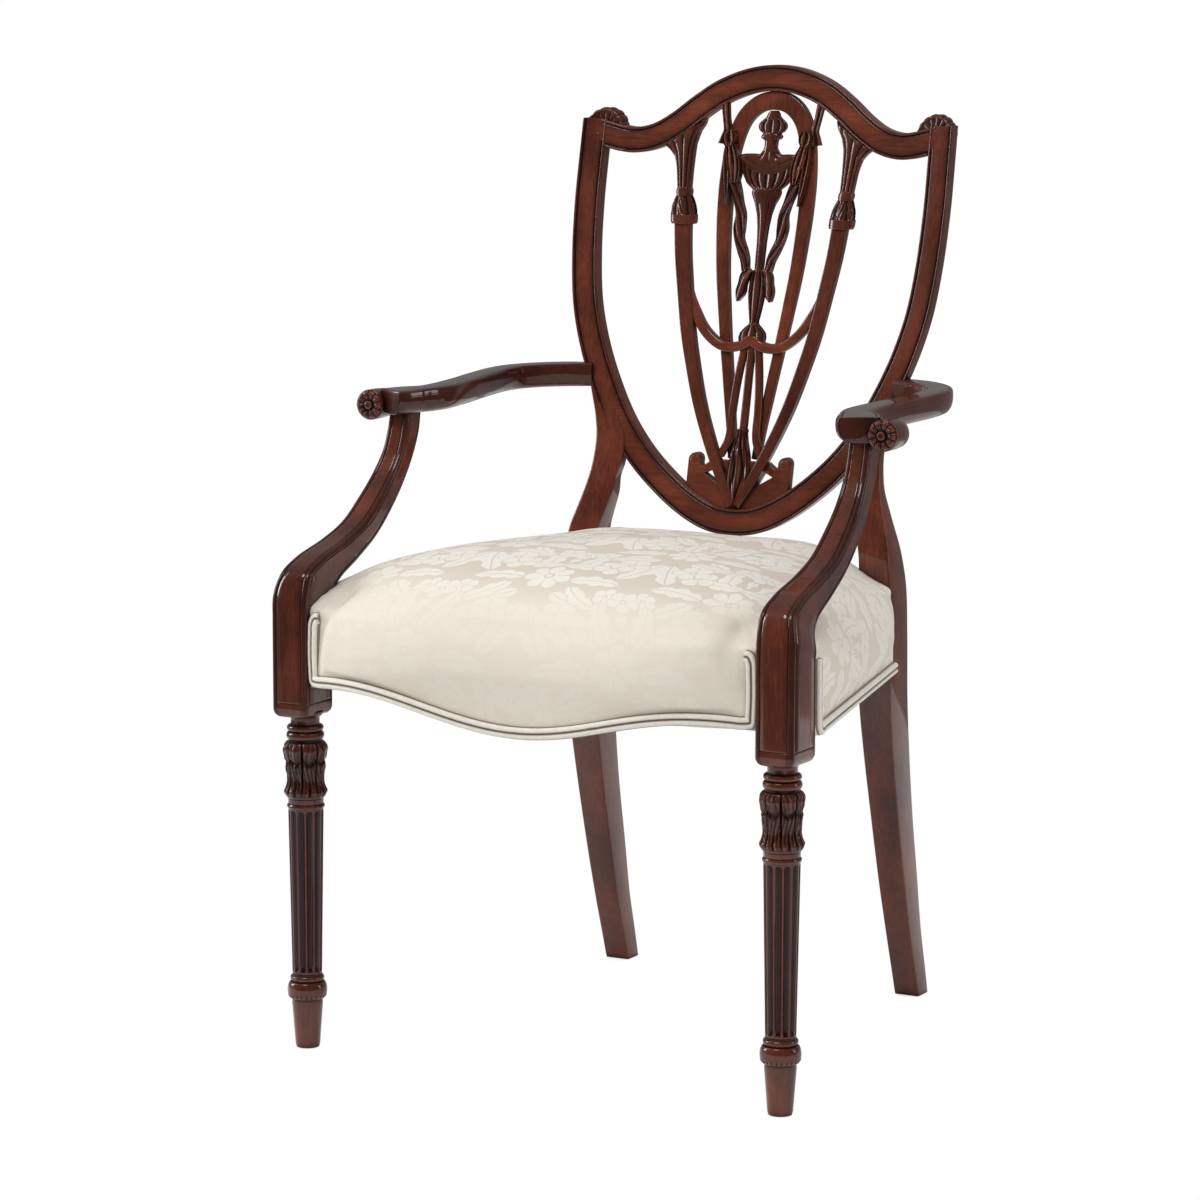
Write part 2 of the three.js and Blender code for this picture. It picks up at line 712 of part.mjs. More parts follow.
function swagCutter() {
  return faceStrip({
    curve: swagCurve,
    steps: 26,
    recess: -overrun,
    sectionAt: () => plainSection(swagWidth + 2 * fit, frameDepth + overrun),
  });
}

function sideStem() {
  const curve = new THREE.SplineCurve(sideStemShares.map(
    ([across, down]) => new THREE.Vector2(across * sideStemSpread, stemTop - down * sideStemDrop),
  ));
  const band = faceStrip({
    curve,
    steps: 14,
    recess: stemRecess,
    sectionAt: () => plainSection(stemWidth, carvedBack - stemRecess, arris / 2),
  });
  return band.subtract(archBand(fit)).subtract(middleStem(fit)).subtract(swagCutter()).subtract(budBody(fit)).subtract(ribBand(fit))
    .subtract(splatShoeBlank(fit));
}

function middleStem(clearance = 0) {
  const curve = new THREE.LineCurve(new THREE.Vector2(0, stemTop), new THREE.Vector2(0, bud.top + fit - clearance));
  const band = faceStrip({
    curve,
    steps: 4,
    recess: stemRecess - clearance,
    sectionAt: () => plainSection(
      stemWidth + 2 * clearance, carvedBack - stemRecess + 2 * clearance, clearance > 0 ? 0 : arris / 2,
    ),
  });
  return clearance > 0 ? band : band.subtract(swagCutter());
}

function budBody(clearance = 0) {
  const reach = (bud.halfWidth + clearance) / bud.halfWidth;
  const body = carvedBody({
    top: bud.top + clearance,
    height: bud.height + 2 * clearance,
    halfWidth: bud.halfWidth * reach,
    shares: budShares,
    recess: bud.recess - 2 * clearance,
    depth: bud.depth + 4 * clearance,
  });
  if (clearance > 0) return body;
  return body.subtract(archBand(fit)).subtract(ribBand(fit)).subtract(mirrored(ribBand(fit)));
}

function splatShoeBlank(clearance = 0) {
  const shape = new THREE.Shape();
  const reach = shoe.halfWidth;
  shape.moveTo(-reach, shoe.foot);
  shape.lineTo(reach, shoe.foot);
  shape.lineTo(reach, shoeScroll.z);
  shape.absarc(shoeScroll.x, shoeScroll.z, shoeScroll.radius, 0, Math.PI, false);
  shape.lineTo(shoeNeck.x, shoeNeck.z);
  shape.lineTo(shoeShoulder.x, shoeShoulder.z);
  shape.lineTo(-shoeShoulder.x, shoeShoulder.z);
  shape.lineTo(-shoeNeck.x, shoeNeck.z);
  shape.absarc(-shoeScroll.x, shoeScroll.z, shoeScroll.radius, 0, Math.PI, false);
  shape.lineTo(-reach, shoe.foot);
  for (const side of [-1, 1]) {
    const hole = new THREE.Path();
    hole.moveTo(side * shoeHole.innerX, shoeHole.foot);
    hole.lineTo(side * shoeHole.outerX, shoeHole.brow);
    hole.lineTo(side * shoeHole.peakX, shoeHole.peak);
    hole.closePath();
    if (clearance === 0) shape.holes.push(hole);
  }
  if (clearance > 0) {
    const blank = shapeOnFace(shape, shoe.recess - clearance, shoe.depth + 2 * clearance);
    return blank.translate([0, 0, clearance]);
  }
  return shapeOnFace(shape, shoe.recess, shoe.depth);
}

function splatShoe() {
  return splatShoeBlank().subtract(lowerRail(fit)).subtract(ribBand(fit)).subtract(mirrored(ribBand(fit)))
    .subtract(budBody(fit));
}

// Rear legs

function legRing({ z, inner, outer, front, back, bevel, backBevel }, grow) {
  return [
    [inner + backBevel - grow, back + grow], [inner - grow, back - backBevel + grow],
    [inner - grow, front + bevel - grow], [inner + bevel - grow, front - grow],
    [outer - bevel + grow, front - grow], [outer + grow, front + bevel - grow],
    [outer + grow, back - backBevel + grow], [outer - backBevel + grow, back + grow],
  ].map(([x, y]) => new THREE.Vector3(x, y, z));
}

function rearLegBlank(clearance = 0) {
  const rings = rearLegShares.map(([height, front, depth, inner, outer]) => {
    const frontY = taper(front, rearFootFront, rearSeatFront);
    return legRing({
      z: height * rearSeatHeight,
      inner: taper(inner, rearFootInner, rearSeatInner),
      outer: taper(outer, rearFootOuter, rearSeatOuter),
      front: frontY,
      back: frontY + taper(depth, rearFootDepth, rearSeatDepth),
      bevel: arris,
      backBevel: arris,
    }, clearance);
  });
  for (const [height, inner, outer, depth, rounding, setBack] of postShares) {
    const z = taper(height, rearSeatHeight, postTop);
    const innerX = rearSeatInner + inner * postInnerReach;
    const outerX = rearSeatOuter + outer * postOuterReach;
    const front = Math.max(
      rearSeatFront + (z - rearSeatHeight) * postFrontSlopeShare,
      faceY((innerX + outerX) / 2, z) + setBack * postSetBack,
    );
    rings.push(legRing({
      z,
      inner: innerX,
      outer: outerX,
      front,
      back: front + taper(depth, postTopDepth, rearSeatDepth),
      bevel: arris,
      backBevel: rounding * postBackBevel,
    }, clearance));
  }
  return toSolid(loft(rings, rings[0].map((point) => new THREE.Vector2(point.x, point.y))));
}

function rearLeg() {
  const lowerHalf = rearLegBlank().subtract(lowerRail(fit));
  return lowerHalf.add(stile())
    .subtract(crestTenonBox(fit))
    .subtract(armTenonBox(fit))
    .subtract(sideRailTenonRear(fit))
    .subtract(backRailTenon(fit));
}

// Front posts

function turnedProfile(points) {
  const flat = points.map(([radius, z]) => new THREE.Vector2(radius, z));
  const closed = [new THREE.Vector2(0, flat[0].y), ...flat, new THREE.Vector2(0, flat.at(-1).y)];
  const geometry = new THREE.LatheGeometry(closed, turnedFacets);
  geometry.rotateX(Math.PI / 2);
  return toSolid(geometry);
}

function footAndAnkle() {
  const ankleMiddle = (footHeight + ankleTop) / 2;
  return turnedProfile([
    [footRadius, 0], [footTopRadius, footHeight], [ankleRadius - arris, footHeight + arris],
    [ankleRadius, ankleMiddle], [ankleRadius - arris, ankleTop - arris], [shaftFootRadius, ankleTop],
    [shaftFootRadius + arris, ankleTop + arris], [shaftFootRadius, shaftFoot - arris],
  ]);
}

function headOfLeg() {
  const cup = cupShares.map(([up, across]) => [across * cupRadius, shaftHead + up * cupHeight]);
  const ringsFoot = shaftHead + cupHeight;
  return turnedProfile([
    [shaftHeadRadius, fluteHead + fluteRunOut - lap], [shaftHeadRadius, shaftHead], ...cup,
    [ringRadius, ringsFoot + ringHeight / 3], [ringRadius, ringsFoot + ringHeight - arris / 2],
    [ringRadius - arris, ringsFoot + ringHeight], [ringRadius, ringsFoot + ringHeight + arris / 2],
    [ringRadius - arris, ringsFoot + 2 * ringHeight], [neckRadius, ringsFoot + 2 * ringHeight + arris],
    [neckRadius, blockFoot - arris], [blockHalfWidth - arris, blockFoot + lap],
  ]);
}

function flutedShaft() {
  const radiusAt = (z) => taper((z - shaftFoot) / (shaftHead - shaftFoot), shaftFootRadius, shaftHeadRadius);
  const stations = [
    [shaftFoot - 2 * arris, 0], [shaftFoot, 0], [shaftFoot + fluteRunOut, 1], [fluteHead - fluteRunOut, 1],
    [fluteHead, 0], [fluteHead + fluteRunOut, 0],
  ];
  const angleShares = [[0, 0], [0.3, 0], [0.65, 1]];
  const rings = stations.map(([z, cut]) => {
    const ring = [];
    for (let flute = 0; flute < fluteCount; flute += 1) {
      for (const [place, sunk] of angleShares) {
        const angle = ((flute + place) / fluteCount) * 2 * Math.PI;
        const radius = radiusAt(z) - sunk * cut * fluteDepth;
        ring.push(new THREE.Vector3(radius * Math.cos(angle), radius * Math.sin(angle), z));
      }
    }
    return ring;
  });
  const flat = rings[0].map((point) => new THREE.Vector2(point.x, point.y));
  return toSolid(loft(rings, flat));
}

// Six-sided ring between a front edge and a back edge that both lie in side view
function slantRing(front, back, inner, outer, bevel, grow = 0) {
  const along = new THREE.Vector2().subVectors(back, front).normalize();
  const place = (x, share, offset) => {
    const y = front.x + (back.x - front.x) * share + along.x * offset;
    const z = front.y + (back.y - front.y) * share + along.y * offset;
    return new THREE.Vector3(x, y, z);
  };
  return [
    place(inner - grow, 1, grow), place(inner - grow, 0, bevel - grow), place(inner + bevel - grow, 0, -grow),
    place(outer - bevel + grow, 0, -grow), place(outer + grow, 0, bevel - grow), place(outer + grow, 1, grow),
  ];
}

function blockAndSupport(clearance = 0) {
  const inner = frontPostX - blockHalfWidth;
  const rings = [];
  for (const [z, pull] of [[blockFoot, 3 * arris], [(blockFoot + blockShoulder) / 2, arris], [blockShoulder, 0]]) {
    rings.push(slantRing(
      new THREE.Vector2(frontPostY - blockHalfDepth + pull, z),
      new THREE.Vector2(frontPostY + blockHalfDepth - pull, z),
      inner + pull, frontPostX + blockHalfWidth - pull, arris, clearance,
    ));
  }
  supportShares.forEach(([frontUp, frontBack, backUp, backBack], index) => {
    const rise = supportTop - blockTop;
    rings.push(slantRing(
      new THREE.Vector2(frontPostY - blockHalfDepth + frontBack * supportSweep, blockTop + frontUp * rise),
      new THREE.Vector2(frontPostY + blockHalfDepth + backBack * supportSweep, blockTop + backUp * rise),
      inner, inner + 2 * blockHalfWidth * supportWidthShares[index], arris, clearance,
    ));
  });
  const flat = slantRing(
    new THREE.Vector2(0, 0), new THREE.Vector2(blockHalfDepth, 0), 0, blockHalfDepth, arris,
  ).map((point) => new THREE.Vector2(point.x, point.y));
  return toSolid(loft(rings, flat));
}

function supportHead() {
  const rise = supportTop - blockTop;
  const [, frontBack, , backBack] = supportShares.at(-1);
  const front = frontPostY - blockHalfDepth + frontBack * supportSweep;
  const back = frontPostY + blockHalfDepth + backBack * supportSweep;
  const inner = frontPostX - blockHalfWidth;
  return { x: inner + blockHalfWidth * supportWidthShares.at(-1), y: (front + back) / 2, z: blockTop + rise };
}

function supportTenonBox(clearance = 0) {
  const head = supportHead();
  return boxSolid(
    new THREE.Vector3(
      head.x - supportTenon.width / 2 - clearance, head.y - supportTenon.depth / 2 - clearance, head.z - lap,
    ),
    new THREE.Vector3(
      head.x + supportTenon.width / 2 + clearance, head.y + supportTenon.depth / 2 + clearance,
      head.z + supportTenon.height + clearance,
    ),
  );
}

function frontPost() {
  const leg = footAndAnkle().add(flutedShaft()).add(headOfLeg()).translate([legAxisX, frontPostY, 0]);
  return leg.add(blockAndSupport()).add(supportTenonBox())
    .subtract(frontRailTenon(fit))
    .subtract(sideRailTenonFront(fit));
}

// Arms

const armStartY = faceY(armStartX, armTopRear - armThickness / 2) + armSetBack;
const armLength = armStartY - armFrontY;

function armStation([across, forward, width]) {
  const x = armStartX + across * armReachX;
  const y = armStartY - forward * armLength;
  return { x, y, z: taper(forward, armTopRear, armTopFront), width: width * armWidth };
}

function armBlank() {
  const stations = armShares.map(armStation);
  const curve = new THREE.CatmullRomCurve3(stations.map(({ x, y, z }) => new THREE.Vector3(x, y, z)));
  const rings = [];
  const steps = 20;
  for (let step = 0; step <= steps; step += 1) {
    const share = step / steps;
    const place = share * (stations.length - 1);
    const index = Math.min(Math.floor(place), stations.length - 2);
    const width = taper(place - index, stations[index].width, stations[index + 1].width);
    const point = curve.getPoint(share);
    const tangent = curve.getTangent(share).setZ(0).normalize();
    rings.push(armSectionShares.map(([across, down]) => new THREE.Vector3(
      point.x - tangent.y * across * width,
      point.y + tangent.x * across * width,
      point.z - down * armThickness,
    )));
  }
  const flat = armSectionShares.map(([across, down]) => new THREE.Vector2(across, down));
  return toSolid(loft(rings, flat));
}

function armRoll() {
  return cylinderBetween(
    new THREE.Vector3(roll.x, roll.front, roll.z),
    new THREE.Vector3(roll.x, roll.front + roll.length, roll.z),
    roll.radius,
    turnedFacets + 2,
  );
}

function armTenonBox(clearance = 0) {
  const curvePoint = shieldCurve.getPointAt(shareAtHeight(shieldCurve, armTenon.z));
  const edge = curvePoint.x + frameWidth / 2;
  const y = faceY(edge, armTenon.z) + frameDepth / 2;
  return boxSolid(
    new THREE.Vector3(
      edge - armTenon.length - clearance, y - armTenon.depth / 2 - clearance,
      armTenon.z - armTenon.height / 2 - clearance,
    ),
    new THREE.Vector3(
      edge + overrun, y + armTenon.depth / 2 + clearance, armTenon.z + armTenon.height / 2 + clearance,
    ),
  );
}

function arm() {
  return armBlank().add(armRoll())
    .subtract(blockAndSupport(fit))
    .subtract(supportTenonBox(fit))
    .subtract(stile(fit))
    .subtract(lowerRail(fit))
    .subtract(rearLegBlank(fit))
    .add(armTenonBox());
}

function rosetteSolid() {
  const shape = new THREE.Shape();
  const points = rosette.petals * 3;
  for (let index = 0; index < points; index += 1) {
    const angle = (index / points) * 2 * Math.PI;
    const wave = 0.93 + 0.07 * Math.cos(rosette.petals * angle);
    const x = roll.x + rosette.radius * wave * Math.cos(angle);
    const z = roll.z + rosette.radius * wave * Math.sin(angle);
    if (index === 0) shape.moveTo(x, z);
    else shape.lineTo(x, z);
  }
  shape.closePath();
  const geometry = new THREE.ExtrudeGeometry(shape, {
    depth: rosette.thickness / 2,
    bevelEnabled: true,
    bevelThickness: rosette.thickness / 2,
    bevelSize: rosette.thickness / 2,
    bevelOffset: -rosette.thickness / 2,
    bevelSegments: 1,
  });
  geometry.rotateX(Math.PI / 2);
  geometry.translate(0, roll.front - fit - rosette.thickness / 2, 0);
  const solid = toSolid(geometry);
  const cut = new THREE.Vector3(roll.x - 2 * roll.radius, roll.front - fit, roll.z - 2 * roll.radius);
  const far = new THREE.Vector3(roll.x + 2 * roll.radius, roll.front + roll.length, roll.z + 2 * roll.radius);
  return solid.subtract(boxSolid(cut, far));
}

// Seat frame

const sideRun = new THREE.Vector2(seatSideRearX - seatSideFrontX, seatSideRearY - seatSideFrontY).normalize();

// A point of the side's plan line, offset inward
function sidePoint(y, inward) {
  const share = (y - seatSideFrontY) / (seatSideRearY - seatSideFrontY);
  const x = taper(share, seatSideFrontX, seatSideRearX);
  return x - inward / sideRun.y;
}

function frontEdgeY(x) {
  const share = Math.min(1, Math.abs(x) / seatFrontHalf);
  return seatFrontY - seatFrontSwell * Math.sin(Math.PI * share) ** 2 + seatFrontDrop * share ** 6;
}

function frontNormal(x) {
  const slope = (frontEdgeY(x + lap / 2) - frontEdgeY(x - lap / 2)) / lap;
  return new THREE.Vector3(slope, -1, 0).normalize();
}

const sideNormal = new THREE.Vector3(sideRun.y, -sideRun.x, 0);
const backNormal = new THREE.Vector3(0, 1, 0);

function frontEdgeZ(x) {
  const share = Math.min(1, Math.abs(x) / seatFrontHalf);
  const crestShare = 0.8;
  if (share < crestShare) return seatLowZ + (seatLowRise * (1 - Math.cos((Math.PI * share) / crestShare))) / 2;
  return seatLowZ + seatLowRise * (1 - 0.14 * ((share - crestShare) / (1 - crestShare)) ** 2);
}

const frontRailEnd = frontPostX - blockHalfWidth - fit;

function frontRailTenon(clearance = 0) {
  const y = frontEdgeY(frontRailEnd) + padThickness + railTenonInset + sideTenon.depth / 2;
  return tenonBox(
    new THREE.Vector3(frontRailEnd + sideTenon.length / 2 - overrun, y, (railTop + railFoot) / 2 + arris),
    new THREE.Vector3(sideTenon.length + 2 * overrun, sideTenon.depth, sideTenon.height),
    clearance,
  );
}

function tenonBox(centre, size, clearance) {
  const half = size.clone().multiplyScalar(1 / 2).addScalar(clearance);
  return boxSolid(centre.clone().sub(half), centre.clone().add(half));
}

const frontRailSteps = 9; // facets of each half of the serpentine rail

function frontRail() {
  const rings = [];
  for (let step = -frontRailSteps; step <= frontRailSteps; step += 1) {
    const x = (step / frontRailSteps) * frontRailEnd;
    const front = frontEdgeY(x) + padThickness;
    const foot = frontEdgeZ(x) + arris;
    rings.push([
      new THREE.Vector3(x, front, foot), new THREE.Vector3(x, frontRailBack, foot),
      new THREE.Vector3(x, frontRailBack, railTop), new THREE.Vector3(x, front, railTop),
    ]);
  }
  const flat = [[0, 0], [1, 0], [1, 1], [0, 1]].map(([across, up]) => new THREE.Vector2(across, up));
  const tenon = frontRailTenon();
  return toSolid(loft(rings, flat)).add(tenon).add(mirrored(tenon));
}

const frontBlockBack = frontPostY + blockHalfDepth;

function sideRailTenonFront(clearance = 0) {
  const x = sidePoint(frontBlockBack, padThickness + railThickness / 2) - railTenonInset;
  return tenonBox(
    new THREE.Vector3(x, frontBlockBack - sideTenon.length / 2 + overrun, (railTop + railFoot) / 2),
    new THREE.Vector3(sideTenon.depth, sideTenon.length + 2 * overrun, sideTenon.height),
    clearance,
  );
}

function sideRailTenonRear(clearance = 0) {
  const x = sidePoint(rearSeatFront, padThickness + railThickness / 2) + railTenonInset;
  const length = backRailFront - rearSeatFront - railTenonInset;
  return tenonBox(
    new THREE.Vector3(x, rearSeatFront + length / 2 - overrun, (railTop + railFoot) / 2),
    new THREE.Vector3(sideTenon.depth, length + 2 * overrun, sideTenon.height),
    clearance,
  );
}

function sideRail() {
  const start = frontBlockBack + fit;
  const end = rearSeatFront - fit;
  const outline = [
    [sidePoint(start, padThickness), start], [sidePoint(end, padThickness), end],
    [sidePoint(end, padThickness + railThickness), end], [sidePoint(start, padThickness + railThickness), start],
  ];
  return prism(outline, railFoot, railTop).add(sideRailTenonFront()).add(sideRailTenonRear())
    .subtract(rearLegBlank(fit).subtract(mortiseRoom()));
}

// Room that keeps the rear leg's clearance from cutting the tenon away
function mortiseRoom() {
  return sideRailTenonRear(lap);
}

function backRailTenon(clearance = 0) {
  const length = sideTenon.length;
  const y = backRailFront + railTenonInset + sideTenon.depth;
  return tenonBox(
    new THREE.Vector3(rearSeatInner + length / 2 - overrun, y, (railTop + railFoot) / 2),
    new THREE.Vector3(length + 2 * overrun, sideTenon.depth, sideTenon.height),
    clearance,
  );
}

function backRail() {
  const end = rearSeatInner - fit - lap;
  const tenon = backRailTenon();
  return boxSolid(
    new THREE.Vector3(-end, backRailFront, railFoot),
    new THREE.Vector3(end, backRailFront + backRailThickness, railTop),
  ).add(tenon).add(mirrored(tenon));
}

// Corner blocks fill the angle between two rails, with one screw into each
function cornerPlan(isFront) {
  const legFace = isFront ? frontRailEnd : rearSeatInner - fit - lap;
  const railFace = isFront ? frontRailBack + fit : backRailFront - fit;
  const legBack = isFront ? frontBlockBack + fit : rearSeatFront - fit;
  const inward = isFront ? 1 : -1;
  const inset = padThickness + railThickness + fit;
  const sideEnd = legBack + inward * cornerLegLength;
  return [
    [legFace - cornerLegLength, railFace], [legFace, railFace], [legFace, legBack],
    [Math.max(legFace + fit, sidePoint(legBack, inset)), legBack], [sidePoint(sideEnd, inset), sideEnd],
  ];
}

function screwLine(isFront, intoSide) {
  const plan = cornerPlan(isFront);
  const middle = (cornerBlockFoot + cornerBlockTop) / 2;
  const inward = isFront ? 1 : -1;
  if (intoSide) {
    const y = plan[4][1] - inward * screw.inset;
    const face = sidePoint(y, padThickness + railThickness);
    const direction = new THREE.Vector3(sideRun.y, -sideRun.x, 0);
    return { face: new THREE.Vector3(face, y, middle + screw.inset / 3), direction };
  }
  const x = plan[0][0] + screw.inset;
  const face = isFront ? frontRailBack : backRailFront;
  return { face: new THREE.Vector3(x, face, middle - screw.inset / 3), direction: new THREE.Vector3(0, -inward, 0) };
}

function screwSolid(line, clearance = 0) {
  const grip = screw.length * 0.6;
  const tip = line.face.clone().addScaledVector(line.direction, screw.length - grip + clearance);
  const head = line.face.clone().addScaledVector(line.direction, -grip);
  const root = head.clone().addScaledVector(line.direction, -lap);
  const shank = cylinderBetween(root, tip, screw.radius + clearance, screw.sides);
  const crown = head.clone().addScaledVector(line.direction, clearance > 0 ? -4 * overrun : -screw.headHeight);
  const seat = head.clone().addScaledVector(line.direction, clearance > 0 ? fit : 0);
  return shank.add(cylinderBetween(crown, seat, screw.headRadius + clearance, screw.sides));
}

function cornerBlock(isFront) {
  return prism(cornerPlan(isFront), cornerBlockFoot, cornerBlockTop)
    .subtract(screwSolid(screwLine(isFront, true), fit))
    .subtract(screwSolid(screwLine(isFront, false), fit));
}

function drilled(rail, holes) {
  return holes.reduce((body, line) => body.subtract(screwSolid(line, fit)), rail);
}

function drilledBothSides(rail, line) {
  const hole = screwSolid(line, fit);
  return rail.subtract(hole).subtract(mirrored(hole));
}

// Seat upholstery

// Share of the swell that is left near a corner, from the place along a panel
function cornerFade(share) {
  return 1 - Math.abs(2 * share - 1) ** 6;
}

const frontPanelHalf = frontRailEnd - weltGround;
const sideGroundShare = weltGround / (rearSeatFront - frontBlockBack);

function frontEdgePoint(x) {
  return {
    at: new THREE.Vector3(x, frontEdgeY(x), frontEdgeZ(x)),
    out: frontNormal(x),
    swell: cornerFade((1 + Math.min(1, x / frontPanelHalf)) / 2),
    turnIn: padThickness + lap,
  };
}

function sideEdgePoint(share) {
  const y = taper(share, frontBlockBack - lap, rearSeatFront + lap);
  return {
    at: new THREE.Vector3(sidePoint(y, 0), y, seatSideLowZ),
    out: sideNormal,
    swell: cornerFade(Math.max(0, share - sideGroundShare) / (1 - sideGroundShare)),
    turnIn: padThickness + lap,
  };
}

function plainEdgePoint(x, y, turnIn = 0) {
  return { at: new THREE.Vector3(x, y, seatSideLowZ), out: backNormal, swell: 0, turnIn };
}

function seatPlan() {
  const half = [];
  const frontSteps = 8;
  for (let step = 0; step <= frontSteps; step += 1) half.push(frontEdgePoint((step / frontSteps) * frontPanelHalf));
  half.push(frontEdgePoint(frontRailEnd + lap));
  half.push(plainEdgePoint(frontPostX, frontPostY - blockHalfDepth / 2));
  half.push(plainEdgePoint(frontPostX + blockHalfWidth / 2, frontPostY));
  half.push(sideEdgePoint(0));
  const sideSteps = 6;
  for (let step = 0; step <= sideSteps; step += 1) half.push(sideEdgePoint(taper(step / sideSteps, sideGroundShare, 1)));
  half.push(plainEdgePoint(rearSeatOuter - rearSeatDepth / 4, rearSeatFront + rearSeatDepth / 2));
  half.push(plainEdgePoint(rearSeatInner + lap, seatBackY, padThickness + lap));
  half.push(plainEdgePoint(rearSeatInner / 3, seatBackY, padThickness + lap));
  const other = half.slice(1).reverse().map(({ at, out, swell, turnIn }) => ({
    at: new THREE.Vector3(-at.x, at.y, at.z),
    out: new THREE.Vector3(-out.x, out.y, out.z),
    swell,
    turnIn,
  }));
  return [...half, ...other];
}

function skirtPoint({ at, out, swell }, z, reach) {
  return at.clone().addScaledVector(out, seatBulge * reach * swell).setZ(z);
}

function seatOuter() {
  const plan = seatPlan();
  const height = seatCrown - seatSideLowZ;
  const centreY = (seatFrontY + seatBackY) / 2;
  const rings = [
    plan.map(({ at, out, turnIn }) => at.clone().addScaledVector(out, -turnIn)),
    plan.map(({ at }) => at.clone()),
    plan.map(({ at }) => at.clone().setZ(at.z + weltBand)),
  ];
  for (const [up, reach] of seatSkirtShares) {
    rings.push(plan.map((point) => skirtPoint(point, seatSideLowZ + up * height, reach)));
  }
  for (const [up, drawIn, atCorner] of seatCrownShares) {
    const z = seatSideLowZ + up * height;
    rings.push(plan.map(({ at }) => {
      const corner = Math.abs((at.x / frontRailEnd) * ((at.y - centreY) / (centreY - seatFrontY))) ** 3;
      const scale = 1 - drawIn - atCorner * Math.min(1, corner);
      return new THREE.Vector3(at.x * scale, centreY + (at.y - centreY) * scale, z);
    }));
  }
  const flat = rings[0].map((point) => new THREE.Vector2(point.x, point.y));
  return toSolid(loft(rings, flat));
}

// Hollow that the seat frame and the webbing fill
function seatHollow() {
  const inset = padThickness - fit;
  const half = [];
  for (let step = 0; step <= frontRailSteps; step += 1) {
    const x = (step / frontRailSteps) * frontRailEnd;
    half.push([x, frontEdgeY(x) + inset]);
  }
  half.push([frontPostX, frontPostY], [sidePoint(frontBlockBack, inset), frontBlockBack]);
  half.push([sidePoint(rearSeatFront, inset), rearSeatFront], [sidePoint(rearSeatFront, inset), rearSeatFront + overrun]);
  half.push([rearSeatInner, rearSeatFront + overrun], [rearSeatInner, seatBackY - inset]);
  const outline = [...half, ...half.slice(1).reverse().map(([x, y]) => [-x, y])];
  return prism(outline, seatLowZ - overrun, railTop + 2 * webbing.thickness + 3 * fit);
}

function seatCushion() {
  let body = seatOuter().subtract(seatHollow());
  for (const cutter of [blockAndSupport(fit), rearLegBlank(fit)]) {
    body = body.subtract(cutter).subtract(mirrored(cutter));
  }
  return body;
}

function webbingStrips() {
  const half = webbing.width / 2;
  for (let index = 0; index < webbing.count; index += 1) {
    const place = (index - (webbing.count - 1) / 2) * webbing.width * 1.4;
    const foot = railTop + fit;
    addMesh(`webbing_long_${index + 1}`, toGeometry(boxSolid(
      new THREE.Vector3(place - half, frontRailBack - webbing.overhang, foot),
      new THREE.Vector3(place + half, backRailFront + webbing.overhang, foot + webbing.thickness),
    )), jute);
    const y = (frontRailBack + backRailFront) / 2 + place * 1.25;
    const reach = sidePoint(y + half, padThickness + railThickness) + webbing.overhang / 2;
    const crossFoot = foot + webbing.thickness + fit;
    addMesh(`webbing_cross_${index + 1}`, toGeometry(boxSolid(
      new THREE.Vector3(-reach, y - half, crossFoot),
      new THREE.Vector3(reach, y + half, crossFoot + webbing.thickness),
    )), jute);
  }
}

function liningPanel() {
  const inset = padThickness + fit;
  const front = frontRailBack + fit;
  const top = railFoot - fit;
  const legBack = frontBlockBack + fit;
  const legFront = rearSeatFront - fit - lap;
  const inner = frontRailEnd;
  const half = [
    [inner, front], [inner, legBack], [sidePoint(legBack, inset), legBack],
    [sidePoint(legFront, inset), legFront], [rearSeatInner - fit - lap, legFront],
    [rearSeatInner - fit - lap, backRailFront + backRailThickness - fit],
  ];
  const outline = [...half, ...half.slice().reverse().map(([x, y]) => [-x, y])];
  return prism(outline, top - liningThickness, top);
}

// Double piping: two cords side by side, laid along a path with a given outward direction
function doubleWelt(stops, steps) {
  const curve = new THREE.CatmullRomCurve3(stops.map(({ at }) => at), false, 'centripetal');
  const radius = weltDiameter / 2;
  const profile = [];
  for (const side of [-1, 1]) {
    for (let index = 0; index <= weltSteps; index += 1) {
      const angle = side * Math.PI * (index / weltSteps - 1 / 2);
      profile.push([side * (radius + radius * Math.cos(angle)), radius + radius * Math.sin(angle)]);
    }
  }
  profile.push([0, radius]);
  const rings = [];
  for (let step = 0; step <= steps; step += 1) {
    const share = step / steps;
    const point = curve.getPointAt(share);
    const along = curve.getTangentAt(share);
    const place = curve.getUtoTmapping(share) * (stops.length - 1);
    const index = Math.min(Math.floor(place), stops.length - 2);
    const out = stops[index].out.clone().lerp(stops[index + 1].out, place - index);
    out.addScaledVector(along, -out.dot(along)).normalize();
    const across = new THREE.Vector3().crossVectors(along, out).normalize();
    rings.push(profile.map(([u, v]) => point.clone().addScaledVector(across, u).addScaledVector(out, v + fit)));
  }
  const flat = profile.map(([u, v]) => new THREE.Vector2(u, v));
  return toSolid(loft(rings, flat));
}

function weltStop({ at, out }, z) {
  return { at: at.clone().setZ(z), out };
}

const uprightTop = seatSideLowZ + weltUprightShare * (seatCrown - seatSideLowZ);

